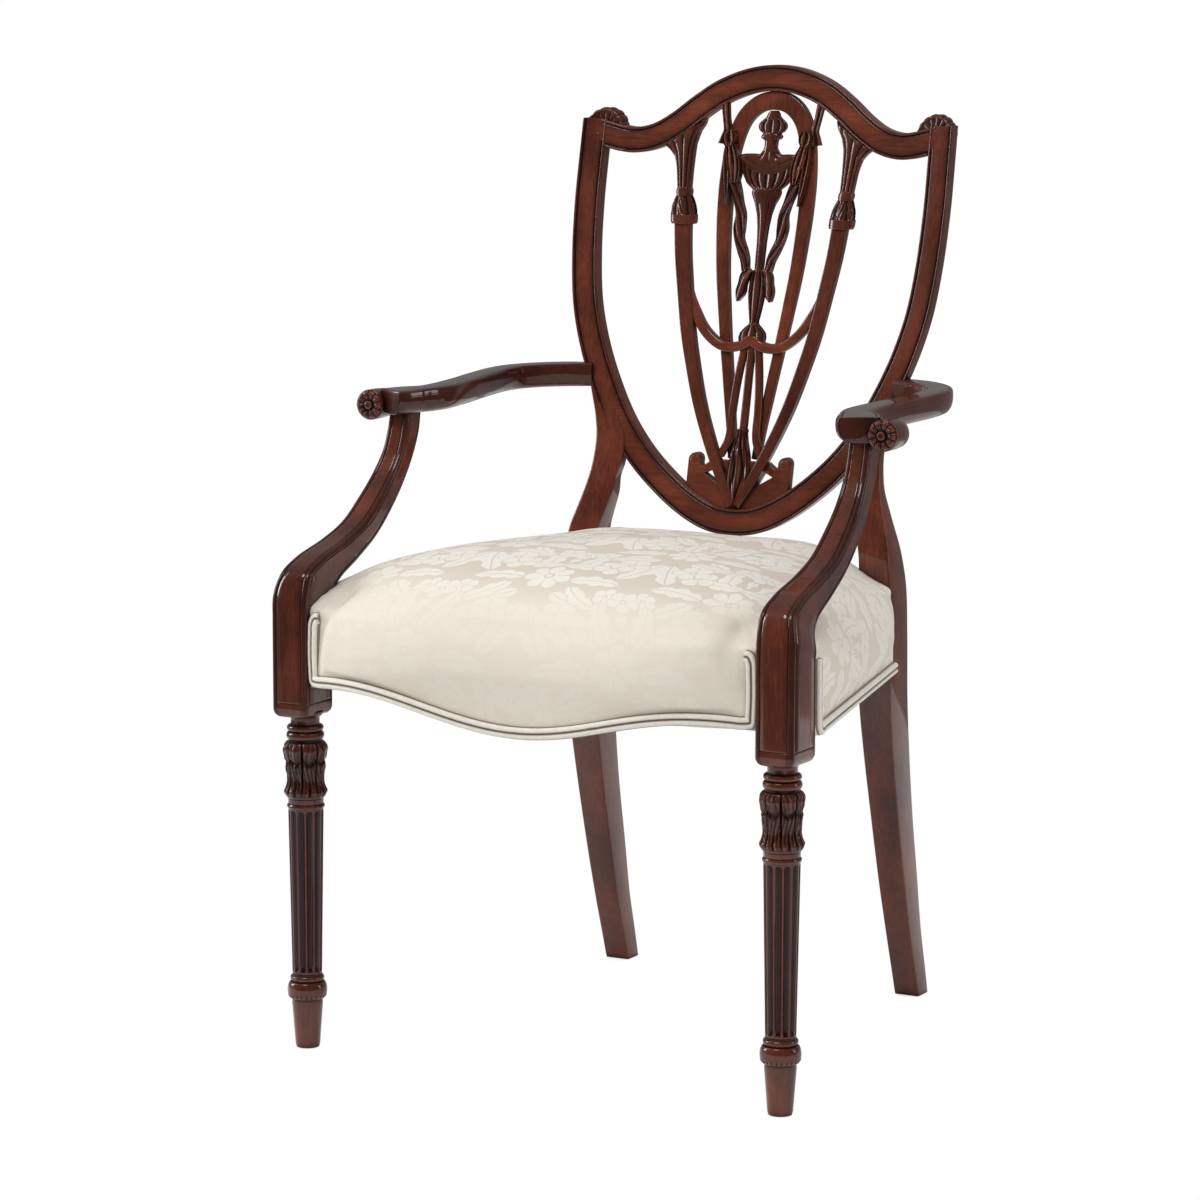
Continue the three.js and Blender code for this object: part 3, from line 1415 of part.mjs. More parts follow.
function frontWelt() {
  const half = [];
  const count = 8;
  for (let index = 0; index < count; index += 1) {
    const edge = frontEdgePoint((index / count) * frontPanelHalf);
    half.push(weltStop(edge, edge.at.z + weltDiameter));
  }
  const inner = frontEdgePoint(frontPanelHalf).at;
  const outer = frontEdgePoint(frontRailEnd + lap).at;
  const corner = {
    at: inner.clone().lerp(outer, 0.45),
    out: new THREE.Vector3(outer.y - inner.y, inner.x - outer.x, 0).normalize(),
  };
  for (const up of [0, 0.5, 1]) half.push(weltStop(corner, taper(up, corner.at.z + weltDiameter, uprightTop)));
  const other = half.slice(1).reverse().map(({ at, out }) => ({
    at: new THREE.Vector3(-at.x, at.y, at.z),
    out: new THREE.Vector3(-out.x, out.y, out.z),
  }));
  return doubleWelt([...other, ...half], 40);
}

function sideWelt() {
  const length = rearSeatFront - frontBlockBack;
  const low = seatSideLowZ + weltDiameter;
  const front = sideEdgePoint(sideGroundShare * 0.55);
  return doubleWelt([
    weltStop(front, uprightTop), weltStop(front, (uprightTop + low) / 2), weltStop(front, low),
    weltStop(sideEdgePoint(0.5), low), weltStop(sideEdgePoint(1 - (fit + lap) / length), low),
  ], 14);
}

function backWelt() {
  const end = rearSeatInner - fit;
  const low = seatSideLowZ + weltDiameter;
  return doubleWelt([-end, end].map((x) => weltStop(plainEdgePoint(x, seatBackY), low)), 2);
}

const pieces = [
  ['rear_leg', rearLeg, mahogany],
  ['splat_rib', splatRib, carvedMahogany],
  ['splat_drape', splatDrape, carvedMahogany],
  ['splat_stem', sideStem, mahogany],
  ['shoulder_cap', shoulderCapSolid, carvedMahogany],
  ['front_post', frontPost, mahogany],
  ['arm', arm, mahogany],
  ['rosette', rosetteSolid, carvedMahogany],
  ['side_rail', () => drilled(sideRail(), [screwLine(true, true), screwLine(false, true)]), seatRailWood],
  ['front_corner_block', () => cornerBlock(true), seatRailWood],
  ['rear_corner_block', () => cornerBlock(false), seatRailWood],
  ['front_corner_screw_side', () => screwSolid(screwLine(true, true)), screwSteel],
  ['front_corner_screw_rail', () => screwSolid(screwLine(true, false)), screwSteel],
  ['rear_corner_screw_side', () => screwSolid(screwLine(false, true)), screwSteel],
  ['rear_corner_screw_rail', () => screwSolid(screwLine(false, false)), screwSteel],
  ['side_welt', sideWelt, pipingCloth],
];
for (const [name, make, finish] of pieces) {
  const solid = make();
  addMesh(`${name}_right`, toGeometry(solid), finish);
  addMesh(`${name}_left`, toGeometry(mirrored(solid)), finish);
}

addMesh('shield_lower_rail', toGeometry(lowerRailPiece()), mahogany);
addMesh('crest_rail', toGeometry(crestRail()), mahogany);
addMesh('splat_arch', toGeometry(splatArch()), mahogany);
addMesh('splat_urn', toGeometry(splatUrn()), carvedMahogany);
addMesh('splat_husk', toGeometry(splatHusk()), carvedMahogany);
addMesh('splat_swag', toGeometry(splatSwag()), mahogany);
addMesh('splat_stem_middle', toGeometry(middleStem()), mahogany);
addMesh('splat_bud', toGeometry(budBody()), carvedMahogany);
addMesh('splat_shoe', toGeometry(splatShoe()), mahogany);
addMesh('front_rail', toGeometry(drilledBothSides(frontRail(), screwLine(true, false))), seatRailWood);
addMesh('back_rail', toGeometry(drilledBothSides(backRail(), screwLine(false, false))), seatRailWood);
addMesh('seat_cushion', toGeometry(seatCushion()), damask);
addMesh('seat_lining', toGeometry(liningPanel()), liningCloth);
addMesh('front_welt', toGeometry(frontWelt()), pipingCloth);
addMesh('back_welt', toGeometry(backWelt()), pipingCloth);
webbingStrips();

// The origin comes under the middle of the chair's box
const chairBox = new THREE.Box3().setFromObject(group);
const middleY = (chairBox.min.y + chairBox.max.y) / 2;
for (const mesh of group.children) mesh.geometry.translate(0, -middleY, 0);

export default group;
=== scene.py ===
"""Shield back armchair: its finished pieces, materials and studio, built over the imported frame."""

import logging
import math
from collections.abc import Callable, Sequence
from dataclasses import dataclass, field
from enum import Enum

import bmesh
import bpy
import numpy as np
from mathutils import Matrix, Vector

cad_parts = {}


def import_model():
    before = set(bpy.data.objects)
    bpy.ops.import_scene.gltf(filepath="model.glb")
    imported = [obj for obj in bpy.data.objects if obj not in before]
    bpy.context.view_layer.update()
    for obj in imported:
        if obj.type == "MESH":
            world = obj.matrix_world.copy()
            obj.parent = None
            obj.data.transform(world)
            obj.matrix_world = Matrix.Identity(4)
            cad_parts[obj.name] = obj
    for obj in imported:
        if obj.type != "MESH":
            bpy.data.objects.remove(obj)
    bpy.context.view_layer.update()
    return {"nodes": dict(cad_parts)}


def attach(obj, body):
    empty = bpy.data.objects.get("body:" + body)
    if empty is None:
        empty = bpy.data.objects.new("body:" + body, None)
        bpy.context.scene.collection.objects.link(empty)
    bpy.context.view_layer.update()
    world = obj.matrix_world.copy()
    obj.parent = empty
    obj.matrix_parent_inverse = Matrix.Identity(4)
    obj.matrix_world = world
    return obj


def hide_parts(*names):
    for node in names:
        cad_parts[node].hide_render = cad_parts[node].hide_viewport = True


Array = np.ndarray
Colour = tuple[float, float, float]
MM = 0.001
RIDGE_GAIN = 5.6
LOG = logging.getLogger("armchair")


# Curves and skins


def ease(value: Array | float, low: float, high: float) -> Array:
    """Smooth step from 0 at low to 1 at high."""
    share = np.clip((np.asarray(value, float) - low) / (high - low), 0.0, 1.0)
    return share * share * (3.0 - 2.0 * share)


def bump(value: Array, centre: float, width: float) -> Array:
    """Bell of height 1 about a centre."""
    return np.exp(-(((value - centre) / width) ** 2))


def lerp(share: Array | float, start: float, end: float) -> Array:
    """Straight blend between two values."""
    return start + (end - start) * np.asarray(share, float)


class Curve:
    """Smooth curve through points of any dimension, stepped by place or by its true length."""

    def __init__(self, points: Sequence[Sequence[float]], even: bool = True, density: int = 48) -> None:
        """Works out the curve's table.

        Args:
            points: The points that the curve runs through.
            even: Whether all spans count alike, or by the root of their length.
            density: Steps per span.
        """
        p = np.asarray(points, float)
        span = np.linalg.norm(np.diff(p, axis=0), axis=1)
        h = np.ones(len(p) - 1) if even else np.sqrt(np.maximum(span, 1e-9))
        slope = np.diff(p, axis=0) / h[:, None]
        tangent = np.empty_like(p)
        tangent[[0, -1]] = slope[[0, -1]] * (0.5 if even else 1.0)
        share = (h[:-1] / (h[:-1] + h[1:]))[:, None]
        tangent[1:-1] = slope[:-1] * (1 - share) + slope[1:] * share
        place = np.linspace(0, len(p) - 1, (len(p) - 1) * density + 1)
        i = np.minimum(place.astype(int), len(p) - 2)
        t = (place - i)[:, None]
        width = h[i][:, None]
        self.place = place
        self.table = (
            (2 * t**3 - 3 * t**2 + 1) * p[i]
            + (t**3 - 2 * t**2 + t) * width * tangent[i]
            + (3 * t**2 - 2 * t**3) * p[i + 1]
            + (t**3 - t**2) * width * tangent[i + 1]
        )
        steps = np.linalg.norm(np.diff(self.table, axis=0), axis=1)
        self.travel = np.concatenate([[0.0], np.cumsum(steps)])
        self.heading = np.gradient(self.table, axis=0)
        self.heading /= np.maximum(np.linalg.norm(self.heading, axis=1), 1e-12)[:, None]

    @property
    def length(self) -> float:
        """True length of the curve."""
        return float(self.travel[-1])

    def _read(self, keys: Array, at: Array) -> tuple[Array, Array]:
        """Points and unit headings read at the given keys.

        Args:
            keys: Key of each row of the table.
            at: Keys to read at.

        Returns:
            Points and unit headings.
        """
        point, heading = (
            np.stack([np.interp(at, keys, rows[:, k]) for k in range(rows.shape[1])], -1)
            for rows in (self.table, self.heading)
        )
        return point, heading / np.maximum(np.linalg.norm(heading, axis=-1, keepdims=True), 1e-12)

    def at(self, share: Array) -> tuple[Array, Array]:
        """Points and unit headings at shares of the length."""
        return self._read(self.travel, np.asarray(share, float) * self.length)

    def by_place(self, place: Array) -> tuple[Array, Array]:
        """Points and unit headings at places counted in the curve's own points."""
        return self._read(self.place, place)

    def places(self, share: Array) -> Array:
        """Places in the curve's own points at shares of the length."""
        return np.interp(np.asarray(share, float) * self.length, self.travel, self.place)

    def share_at_height(self, height: float) -> float:
        """Share of the length where the curve's right half passes a height."""
        half = len(self.table) // 2
        return float(np.interp(height, self.table[half:, 1], self.travel[half:]) / self.length)


def symmetric(shares: Sequence[Sequence[float]], half_width: float, base: float, height: float) -> Curve:
    """Curve of the elevation that is the same on both sides of the middle.

    Args:
        shares: Outward and upward shares of the right half, from the middle.
        half_width: Reach of share 1 outward.
        base: Height of share 0.
        height: Rise of share 1.

    Returns:
        The whole curve from left to right.
    """
    half = [(x * half_width, base + z * height) for x, z in shares]
    return Curve([(-x, z) for x, z in half[:0:-1]] + half)


def linked(name: str, data: bpy.types.ID) -> bpy.types.Object:
    """Puts new data into the scene as an object.

    Args:
        name: Name of the object.
        data: Its mesh, lamp or camera.

    Returns:
        The object.
    """
    made = bpy.data.objects.new(name, data)
    bpy.context.scene.collection.objects.link(made)
    return made


def note(mesh: bpy.types.Mesh, name: str, values: Array) -> None:
    """Writes a number or a vector on each point of a mesh.

    Args:
        mesh: The mesh to write on.
        name: Name of the attribute.
        values: One entry for each point.
    """
    kind, key = ("FLOAT", "value") if values.ndim == 1 else ("FLOAT_VECTOR", "vector")
    layer = mesh.attributes.new(name, kind, "POINT")
    layer.data.foreach_set(key, np.ascontiguousarray(values, np.float32).ravel())


@dataclass
class Skin:
    """Points in millimetres and faces, gathered for one mesh."""

    points: list[Array] = field(default_factory=list)
    faces: list[list[int]] = field(default_factory=list)
    count: int = 0
    tones: list[Array] = field(default_factory=list)

    def loft(self, rings: Array, caps: bool = True, tone: Array | float = 0.0) -> "Skin":
        """Sews rings of equal point count into a skin that faces outward.

        Args:
            rings: Points by ring, by place round the ring, by axis.
            caps: Whether both ends are filled.
            tone: Share of darkening at each point, by ring and place: dark glaze, and on the front posts' rounded
                corners a painted dark reflection.

        Returns:
            This skin.
        """
        n, m = rings.shape[:2]
        index = np.arange(n * m).reshape(n, m)
        index = np.concatenate([index, index[:, :1]], axis=1)
        a, b = index[:-1, :-1], index[:-1, 1:]
        c, d = index[1:, 1:], index[1:, :-1]
        quads = np.stack([a, b, c, d], -1).reshape(-1, 4)
        flat = rings.reshape(-1, 3)
        centre = flat.mean(0)
        p = flat[quads] - centre
        volume = np.einsum("ij,ij->i", p[:, 0], np.cross(p[:, 1], p[:, 2]) + np.cross(p[:, 2], p[:, 3])).sum()
        faces = quads.tolist()
        if caps:
            faces += [list(range(m))[::-1], list(range((n - 1) * m, n * m))]
        if volume < 0:
            faces = [face[::-1] for face in faces]
        self.faces += [[v + self.count for v in face] for face in faces]
        self.points.append(flat)
        self.tones.append(np.broadcast_to(tone, (n, m)).ravel())
        self.count += n * m
        return self

    def merge(self, other: "Skin") -> "Skin":
        """Adds another skin to this one.

        Args:
            other: The skin to add.

        Returns:
            This skin.
        """
        self.faces += [[v + self.count for v in face] for face in other.faces]
        self.points += other.points
        self.tones += other.tones
        self.count += other.count
        return self

    def mirrored(self) -> "Skin":
        """The same skin on the other side of the chair's middle."""
        points = [p * np.array([-1.0, 1.0, 1.0]) for p in self.points]
        return Skin(points, [face[::-1] for face in self.faces], self.count, self.tones)

    def to_object(self, name: str, material: bpy.types.Material, sharp: float = 42.0) -> bpy.types.Object:
        """Makes the Blender object, smooth but for its sharp arrises, with its hollows and ridges noted.

        Args:
            name: Name of the object.
            material: Its finish.
            sharp: Angle in degrees from which an edge stays sharp.

        Returns:
            The linked object.
        """
        mesh = bpy.data.meshes.new(name)
        mesh.from_pydata((np.concatenate(self.points) * MM).tolist(), [], self.faces)
        mesh.polygons.foreach_set("use_smooth", np.ones(len(mesh.polygons), bool))
        mesh.set_sharp_from_angle(angle=math.radians(sharp))
        mesh.update()
        note_ridges(mesh)
        note(mesh, "glaze_and_painted_reflection", np.concatenate(self.tones))
        mesh.materials.append(material)
        return linked(name, mesh)


def note_ridges(mesh: bpy.types.Mesh) -> None:
    """Writes a point attribute that is above 0 on ridges and below 0 in hollows.

    Args:
        mesh: The mesh to read and to write on.
    """
    count = len(mesh.vertices)
    ends = np.empty(len(mesh.edges) * 2, np.int32)
    mesh.edges.foreach_get("vertices", ends)
    a, b = ends[::2], ends[1::2]
    co, normal = np.empty(count * 3), np.empty(count * 3)
    mesh.vertices.foreach_get("co", co)
    mesh.vertices.foreach_get("normal", normal)
    co, normal = co.reshape(-1, 3) / MM, normal.reshape(-1, 3)
    degree = np.maximum(np.bincount(a, minlength=count) + np.bincount(b, minlength=count), 1)

    def around(values: Array) -> Array:
        """Mean of a value over each point's neighbours."""
        total = np.bincount(a, values[b], count) + np.bincount(b, values[a], count)
        return total / degree

    delta = np.stack([around(co[:, k]) for k in range(3)], -1) - co
    span = ((co[a] - co[b]) ** 2).sum(1)
    mean_span = (np.bincount(a, span, count) + np.bincount(b, span, count)) / degree
    ridge = -(delta * normal).sum(1) / np.maximum(mean_span, 0.02) * RIDGE_GAIN
    ridge = np.clip(ridge, -2.0, 2.0)
    for _ in range(3):
        ridge = 0.5 * ridge + 0.5 * around(ridge)
    note(mesh, "ridge", np.clip(ridge, -1.0, 1.0))


# Shader maths


class Graph:
    """Node tree of one material or world, filled by expressions."""

    def __init__(self, tree: bpy.types.NodeTree) -> None:
        """Starts from an empty tree."""
        self.tree = tree
        tree.nodes.clear()

    def put(self, kind: str, settings: dict | None = None, sockets: dict | None = None) -> bpy.types.Node:
        """Adds one node.

        Args:
            kind: Blender's name of the node type, after ShaderNode.
            settings: Properties that are set first.
            sockets: Values or links of the inputs, by name or number.

        Returns:
            The node.
        """
        node = self.tree.nodes.new(f"ShaderNode{kind}")
        for key, value in (settings or {}).items():
            setattr(node, key, value)
        for key, value in (sockets or {}).items():
            socket = node.inputs[key]
            if isinstance(value, Value):
                self.tree.links.new(value.socket, socket)
            elif isinstance(value, bpy.types.NodeSocket):
                self.tree.links.new(value, socket)
            else:
                socket.default_value = value
        return node

    def maths(self, operation: str, *terms: "Value | float") -> "Value":
        """A Math node of the given operation."""
        node = self.put("Math", {"operation": operation}, dict(enumerate(terms)))
        return Value(self, node.outputs[0])

    def vector(self, operation: str, *terms: object) -> "Value":
        """A Vector Math node of the given operation."""
        node = self.put("VectorMath", {"operation": operation}, dict(enumerate(terms)))
        return Value(self, node.outputs["Vector"])

    def colour(self, factor: "Value | float", first: object, second: object) -> "Value":
        """A Mix node for colours.

        Args:
            factor: Share of the second colour.
            first: Colour at factor 0.
            second: Colour at factor 1.

        Returns:
            The mixed colour.
        """
        def full(tone: object) -> object:
            """Colour with its alpha."""
            return (*tone, 1.0) if isinstance(tone, tuple) else tone

        node = self.put("Mix", {"data_type": "RGBA"}, {0: factor, 6: full(first), 7: full(second)})
        return Value(self, node.outputs[2])

    def split(self, vector: "Value") -> tuple["Value", "Value", "Value"]:
        """The three numbers of a vector."""
        node = self.put("SeparateXYZ", None, {0: vector})
        return tuple(Value(self, out) for out in node.outputs)

    def place(self) -> "Value":
        """Coordinates of the chair, in metres."""
        return Value(self, self.put("TexCoord").outputs["Object"])

    def noise(self, at: "Value", scale: float, detail: float = 3.0, rough: float = 0.55) -> "Value":
        """Noise from 0 to 1."""
        sockets = {"Vector": at, "Scale": scale, "Detail": detail, "Roughness": rough}
        return Value(self, self.put("TexNoise", None, sockets).outputs["Fac"])

    def openness(self, distance: float, samples: int = 6) -> "Value":
        """Openness of a place, from 0 in a hollow to 1."""
        return Value(self, self.put("AmbientOcclusion", {"samples": samples}, {"Distance": distance}).outputs["AO"])

    def noted(self, name: str) -> "Value":
        """A number that the mesh carries."""
        return Value(self, self.put("Attribute", {"attribute_name": name}).outputs["Fac"])

    def relief(self, height: "Value", distance: float, strength: float = 1.0) -> "Value":
        """Surface normal bent by a height."""
        sockets = {"Height": height, "Distance": distance, "Strength": strength}
        return Value(self, self.put("Bump", None, sockets).outputs[0])


def _joined(operation: str, turned: bool = False) -> Callable[["Value", "Value | float"], "Value"]:
    """Method that joins a value with another one in a Math node.

    Args:
        operation: The node's operation.
        turned: Whether the other value comes first.

    Returns:
        The method.
    """
    def method(self: "Value", other: "Value | float") -> "Value":
        """The joined value."""
        return self.graph.maths(operation, *((other, self) if turned else (self, other)))

    return method


class Value:
    """A shader socket that can be used in expressions."""

    def __init__(self, graph: Graph, socket: bpy.types.NodeSocket) -> None:
        """Wraps a socket of a graph."""
        self.graph = graph
        self.socket = socket

    __add__ = __radd__ = _joined("ADD")
    __sub__ = _joined("SUBTRACT")
    __rsub__ = _joined("SUBTRACT", turned=True)
    __mul__ = __rmul__ = _joined("MULTIPLY")
    __truediv__ = _joined("DIVIDE")
    __pow__ = _joined("POWER")
    least = _joined("MINIMUM")
    most = _joined("MAXIMUM")

    def __neg__(self) -> "Value":
        """The value with its sign turned."""
        return self.graph.maths("MULTIPLY", self, -1.0)

    def __abs__(self) -> "Value":
        """Size without sign."""
        return self.graph.maths("ABSOLUTE", self)

    def wave(self, cycles: float = 1.0) -> "Value":
        """Sine of the value, counted in turns."""
        return self.graph.maths("SINE", self * (2 * math.pi * cycles))

    def step(self, low: float, high: float) -> "Value":
        """Smooth step from 0 at low to 1 at high, or the other way where high is the lower.

        Args:
            low: Where the step starts.
            high: Where it ends.

        Returns:
            The share.
        """
        if high < low:
            return 1.0 - self.step(high, low)
        sockets = {"Value": self, "From Min": low, "From Max": high}
        node = self.graph.put("MapRange", {"interpolation_type": "SMOOTHSTEP"}, sockets)
        return Value(self.graph, node.outputs[0])


# Finishes


class Grain(Enum):
    """Axis that the wood's fibres follow."""

    ACROSS = (0.09, 1.0, 1.0)
    ALONG = (1.0, 0.09, 1.0)
    UP = (1.0, 1.0, 0.09)


@dataclass(frozen=True)
class Finish:
    """A named finish, whose material is built on demand."""

    name: str

    def inputs(self, g: Graph) -> dict:
        """Inputs of the Principled shader, by name."""
        raise NotImplementedError

    def material(self) -> bpy.types.Material:
        """Builds the material.

        Returns:
            The material.
        """
        made = bpy.data.materials.new(self.name)
        made.use_nodes = True
        g = Graph(made.node_tree)
        shader = g.put("BsdfPrincipled", None, self.inputs(g))
        g.put("OutputMaterial", None, {0: shader.outputs[0]})
        return made


@dataclass(frozen=True)
class Lacquer(Finish):
    """Mahogany under a clear gloss lacquer, with dark glaze left in its hollows, painted shade from ambient
    occlusion in hollows and where parts meet, and ridges lightened partly by wear and partly as a painted
    highlight.
    """

    grain: Grain = Grain.UP
    light: Colour = (0.212, 0.050, 0.024)
    dark: Colour = (0.038, 0.0090, 0.0054)
    # Dark tone of the glaze in pores and hollows, also used for the painted shade.
    glaze_and_shade: Colour = (0.0065, 0.0026, 0.0020)
    roughness: float = 0.3
    glaze_and_shade_share: float = 0.9
    coat: float = 0.95
    # Share of the lighter ridge tone: partly wear, partly a painted highlight.
    mark_and_painted_light: float = 0.22

    def inputs(self, g: Graph) -> dict:
        """Shader inputs of the finished wood.

        Args:
            g: The material's graph.

        Returns:
            The inputs by name.
        """
        here = g.place()
        fibre = g.vector("MULTIPLY", here, self.grain.value)
        figure = g.noise(fibre, 26.0, 3.0, 0.5)
        lines = g.noise(fibre, 420.0, 4.0, 0.62)
        blotch = g.noise(here, 9.0, 2.0)
        pores = g.noise(fibre, 1500.0, 2.0, 0.5).step(0.62, 0.75)
        share = (figure * 0.75 + lines * 0.55 + blotch * 0.45 - 0.42).step(0.05, 0.85)
        tone = g.colour(share, self.dark, self.light)
        stain = g.noise(here, 17.0, 3.0, 0.6).step(0.42, 0.62)
        tone = g.colour(stain * 0.34, tone, self.dark)
        tone = g.colour(pores * 0.45, tone, self.glaze_and_shade)
        ridge = g.noted("ridge")
        # Painted shade: ambient occlusion darkens hollows and the places where parts meet, on top of the real
        # glaze.
        shade = g.openness(0.011)
        hollow = (-ridge).step(0.04, 0.5) + (1.0 - shade).step(0.2, 0.8) + g.noted("glaze_and_painted_reflection") * (0.7 + blotch * 0.5)
        hollow = hollow.least(1.0) * self.glaze_and_shade_share
        tone = g.colour(hollow, tone, self.glaze_and_shade)
        # Lighter tone on ridges: partly wear, partly a painted highlight.
        tone = g.colour(ridge.step(0.35, 1.0) * self.mark_and_painted_light, tone, (0.26, 0.085, 0.048))
        rough = self.roughness + hollow * 0.18 + (g.noise(here, 60.0, 3.0) - 0.5) * 0.12
        height = lines * 0.25 + pores * -0.35 + g.noise(here, 34.0, 2.0) * 1.3
        return {
            "Base Color": tone,
            "Roughness": rough,
            "Normal": g.relief(height, 0.00022, 0.5),
            "IOR": 1.42,
            "Specular IOR Level": 0.14,
            "Coat Weight": (1.0 - hollow * 0.75) * self.coat,
            "Coat Roughness": 0.05,
            "Coat IOR": 1.48,
        }


@dataclass(frozen=True)
class PlainFinish(Finish):
    """A hidden or small part's finish: a base colour with fine variation and a slight relief."""

    colour: Colour
    second: Colour
    roughness: float = 0.6
    metallic: float = 0.0
    scale: float = 300.0
    stretch: tuple[float, float, float] = (1.0, 1.0, 1.0)
    woven: bool = False

    def inputs(self, g: Graph) -> dict:
        """Shader inputs of the finish.

        Args:
            g: The material's graph.

        Returns:
            The inputs by name.
        """
        here = g.vector("MULTIPLY", g.place(), self.stretch)
        grain = g.noise(here, self.scale, 4.0, 0.6)
        height = grain
        if self.woven:
            x, y, _ = g.split(here)
            height = abs(x.wave(700.0)) * 0.5 + abs(y.wave(700.0)) * 0.5
        tone = g.colour((grain * 0.6 + height * 0.4).step(0.25, 0.75), self.colour, self.second)
        return {
            "Base Color": tone,
            "Roughness": self.roughness,
            "Metallic": self.metallic,
            "Normal": g.relief(height, 0.0002, 0.5),
        }


@dataclass(frozen=True)
class Blossom:
    """A round flower of the damask."""

    x: float
    y: float
    size: float
    petals: int = 5
    turn: float = 0.0


@dataclass(frozen=True)
class Leaf:
    """A leaf of the damask: root, length, half width, heading in degrees and bend."""

    x: float
    y: float
    length: float
    width: float
    heading: float
    bend: float = 0.0
    lobes: float = 3.0


@dataclass(frozen=True)
class Damask(Finish):
    """Satin damask: ivory flowers and leaves on a duller taupe ground, in mirrored half-drop rows, with the
    figure's contrast painted as satin sheen: full on the top, fading to one flat tone lower on the front and sides.
    """

    name: str = "damask"
    ivory: Colour = (0.83, 0.79, 0.72)
    ground: Colour = (0.645, 0.56, 0.47)
    # Flat tone where the painted sheen washes the figure out.
    sheen_washed: Colour = (0.77, 0.70, 0.595)
    repeat: tuple[float, float] = (0.196, 0.232)
    flowers: tuple[Blossom, ...] = (
        Blossom(0, 0.018, 0.025, 7, 0.25),
        Blossom(0.052, 0.056, 0.021, 5, 0.1),
        Blossom(0.034, -0.046, 0.021, 5, 0.3),
        Blossom(0.078, -0.012, 0.014, 5, 0),
        Blossom(0, 0.098, 0.017, 5, 0.25),
    )
    leaves: tuple[Leaf, ...] = (
        Leaf(0.012, 0.04, 0.056, 0.012, 62, 0.5),
        Leaf(0.026, 0.012, 0.052, 0.0115, 18, -0.6),
        Leaf(0.018, -0.012, 0.048, 0.011, -38, 0.6),
        Leaf(0.004, -0.03, 0.064, 0.0135, -80, 0.35),
        Leaf(0.052, -0.062, 0.044, 0.01, -25, 0.7),
        Leaf(0.03, 0.084, 0.05, 0.011, 30, 0.5),
        Leaf(0.096, -0.036, 0.04, 0.009, -70, 0.5),
    )

    def _blossom(self, g: Graph, x: Value, y: Value, flower: Blossom) -> tuple[Value, Value]:
        """One flower's share of the figure, and what it leaves of the figure behind it.

        Args:
            g: The material's graph.
            x: Place across the cloth in metres.
            y: Place along the cloth in metres.
            flower: The flower.

        Returns:
            Its share, and the part left behind it.
        """
        dx, dy = x - flower.x, y - flower.y
        distance = (dx * dx + dy * dy) ** 0.5
        angle = g.maths("ARCTAN2", dy, dx) * (flower.petals / 2.0)
        lobe = abs(g.maths("COSINE", angle + flower.turn * math.pi))
        edge = flower.size * (lobe**0.55 * 0.42 + 0.58)
        body = (edge - distance).step(-0.0004, 0.0006)
        parting = 1.0 - (lobe - 0.16).step(0.06, -0.06) * distance.step(flower.size * 0.28, flower.size * 0.4)
        eye = distance.step(flower.size * 0.2, flower.size * 0.26)
        ring = eye.most(1.0 - distance.step(flower.size * 0.1, flower.size * 0.15))
        return body * parting.most(0.0) * ring, (distance - edge).step(0.0008, 0.0016)

    def _leaf(self, g: Graph, x: Value, y: Value, leaf: Leaf) -> tuple[Value, Value]:
        """One leaf's share of the figure, and what it leaves of the figure behind it.

        Args:
            g: The material's graph.
            x: Place across the cloth in metres.
            y: Place along the cloth in metres.
            leaf: The leaf.

        Returns:
            Its share, and the part left behind it.
        """
        turn = math.radians(leaf.heading)
        dx, dy = x - leaf.x, y - leaf.y
        along = (dx * math.cos(turn) + dy * math.sin(turn)) / leaf.length
        across = (dy * math.cos(turn) - dx * math.sin(turn)) / leaf.width
        across = across - (along * along) * (leaf.bend * leaf.length / leaf.width * 0.55)
        inside = (along * (1.0 - along) * 4.0).most(0.0)
        notch = abs(g.maths("SINE", along * (leaf.lobes * math.pi))) * 0.34 + 0.66
        edge = inside**0.6 * notch
        body = (edge - abs(across)).step(-0.03, 0.05) * inside.step(0.0, 0.06)
        vein = abs(across).step(0.03, 0.10)
        return body * vein, 1.0 - (edge + 0.16 - abs(across)).step(-0.03, 0.05) * inside.step(0.0, 0.02)

    def figure(self, g: Graph, x: Value, y: Value) -> Value:
        """The whole figure over the repeat.

        Args:
            g: The material's graph.
            x: Place across the cloth in metres.
            y: Place along the cloth in metres.

        Returns:
            1 on the flowers and leaves, 0 on the ground.
        """
        wide, high = self.repeat
        places = [
            (
                g.maths("PINGPONG", x + wide * (shift + 40.0), wide / 2.0),
                g.maths("WRAP", y + high * shift, high / 2.0, -high / 2.0),
            )
            for shift in (0.0, 0.5)
        ]
        whole: Value | float = 0.0
        for draw, motifs in ((self._leaf, self.leaves), (self._blossom, self.flowers)):
            for column, row in places:
                for motif in motifs:
                    part, halo = draw(g, column, row, motif)
                    whole = (whole * halo).most(part) if isinstance(whole, Value) else part
        return whole

    def inputs(self, g: Graph) -> dict:
        """Shader inputs of the cover.

        Args:
            g: The material's graph.

        Returns:
            The inputs by name.
        """
        cloth = Value(g, g.put("Attribute", {"attribute_name": "cloth"}).outputs["Vector"])
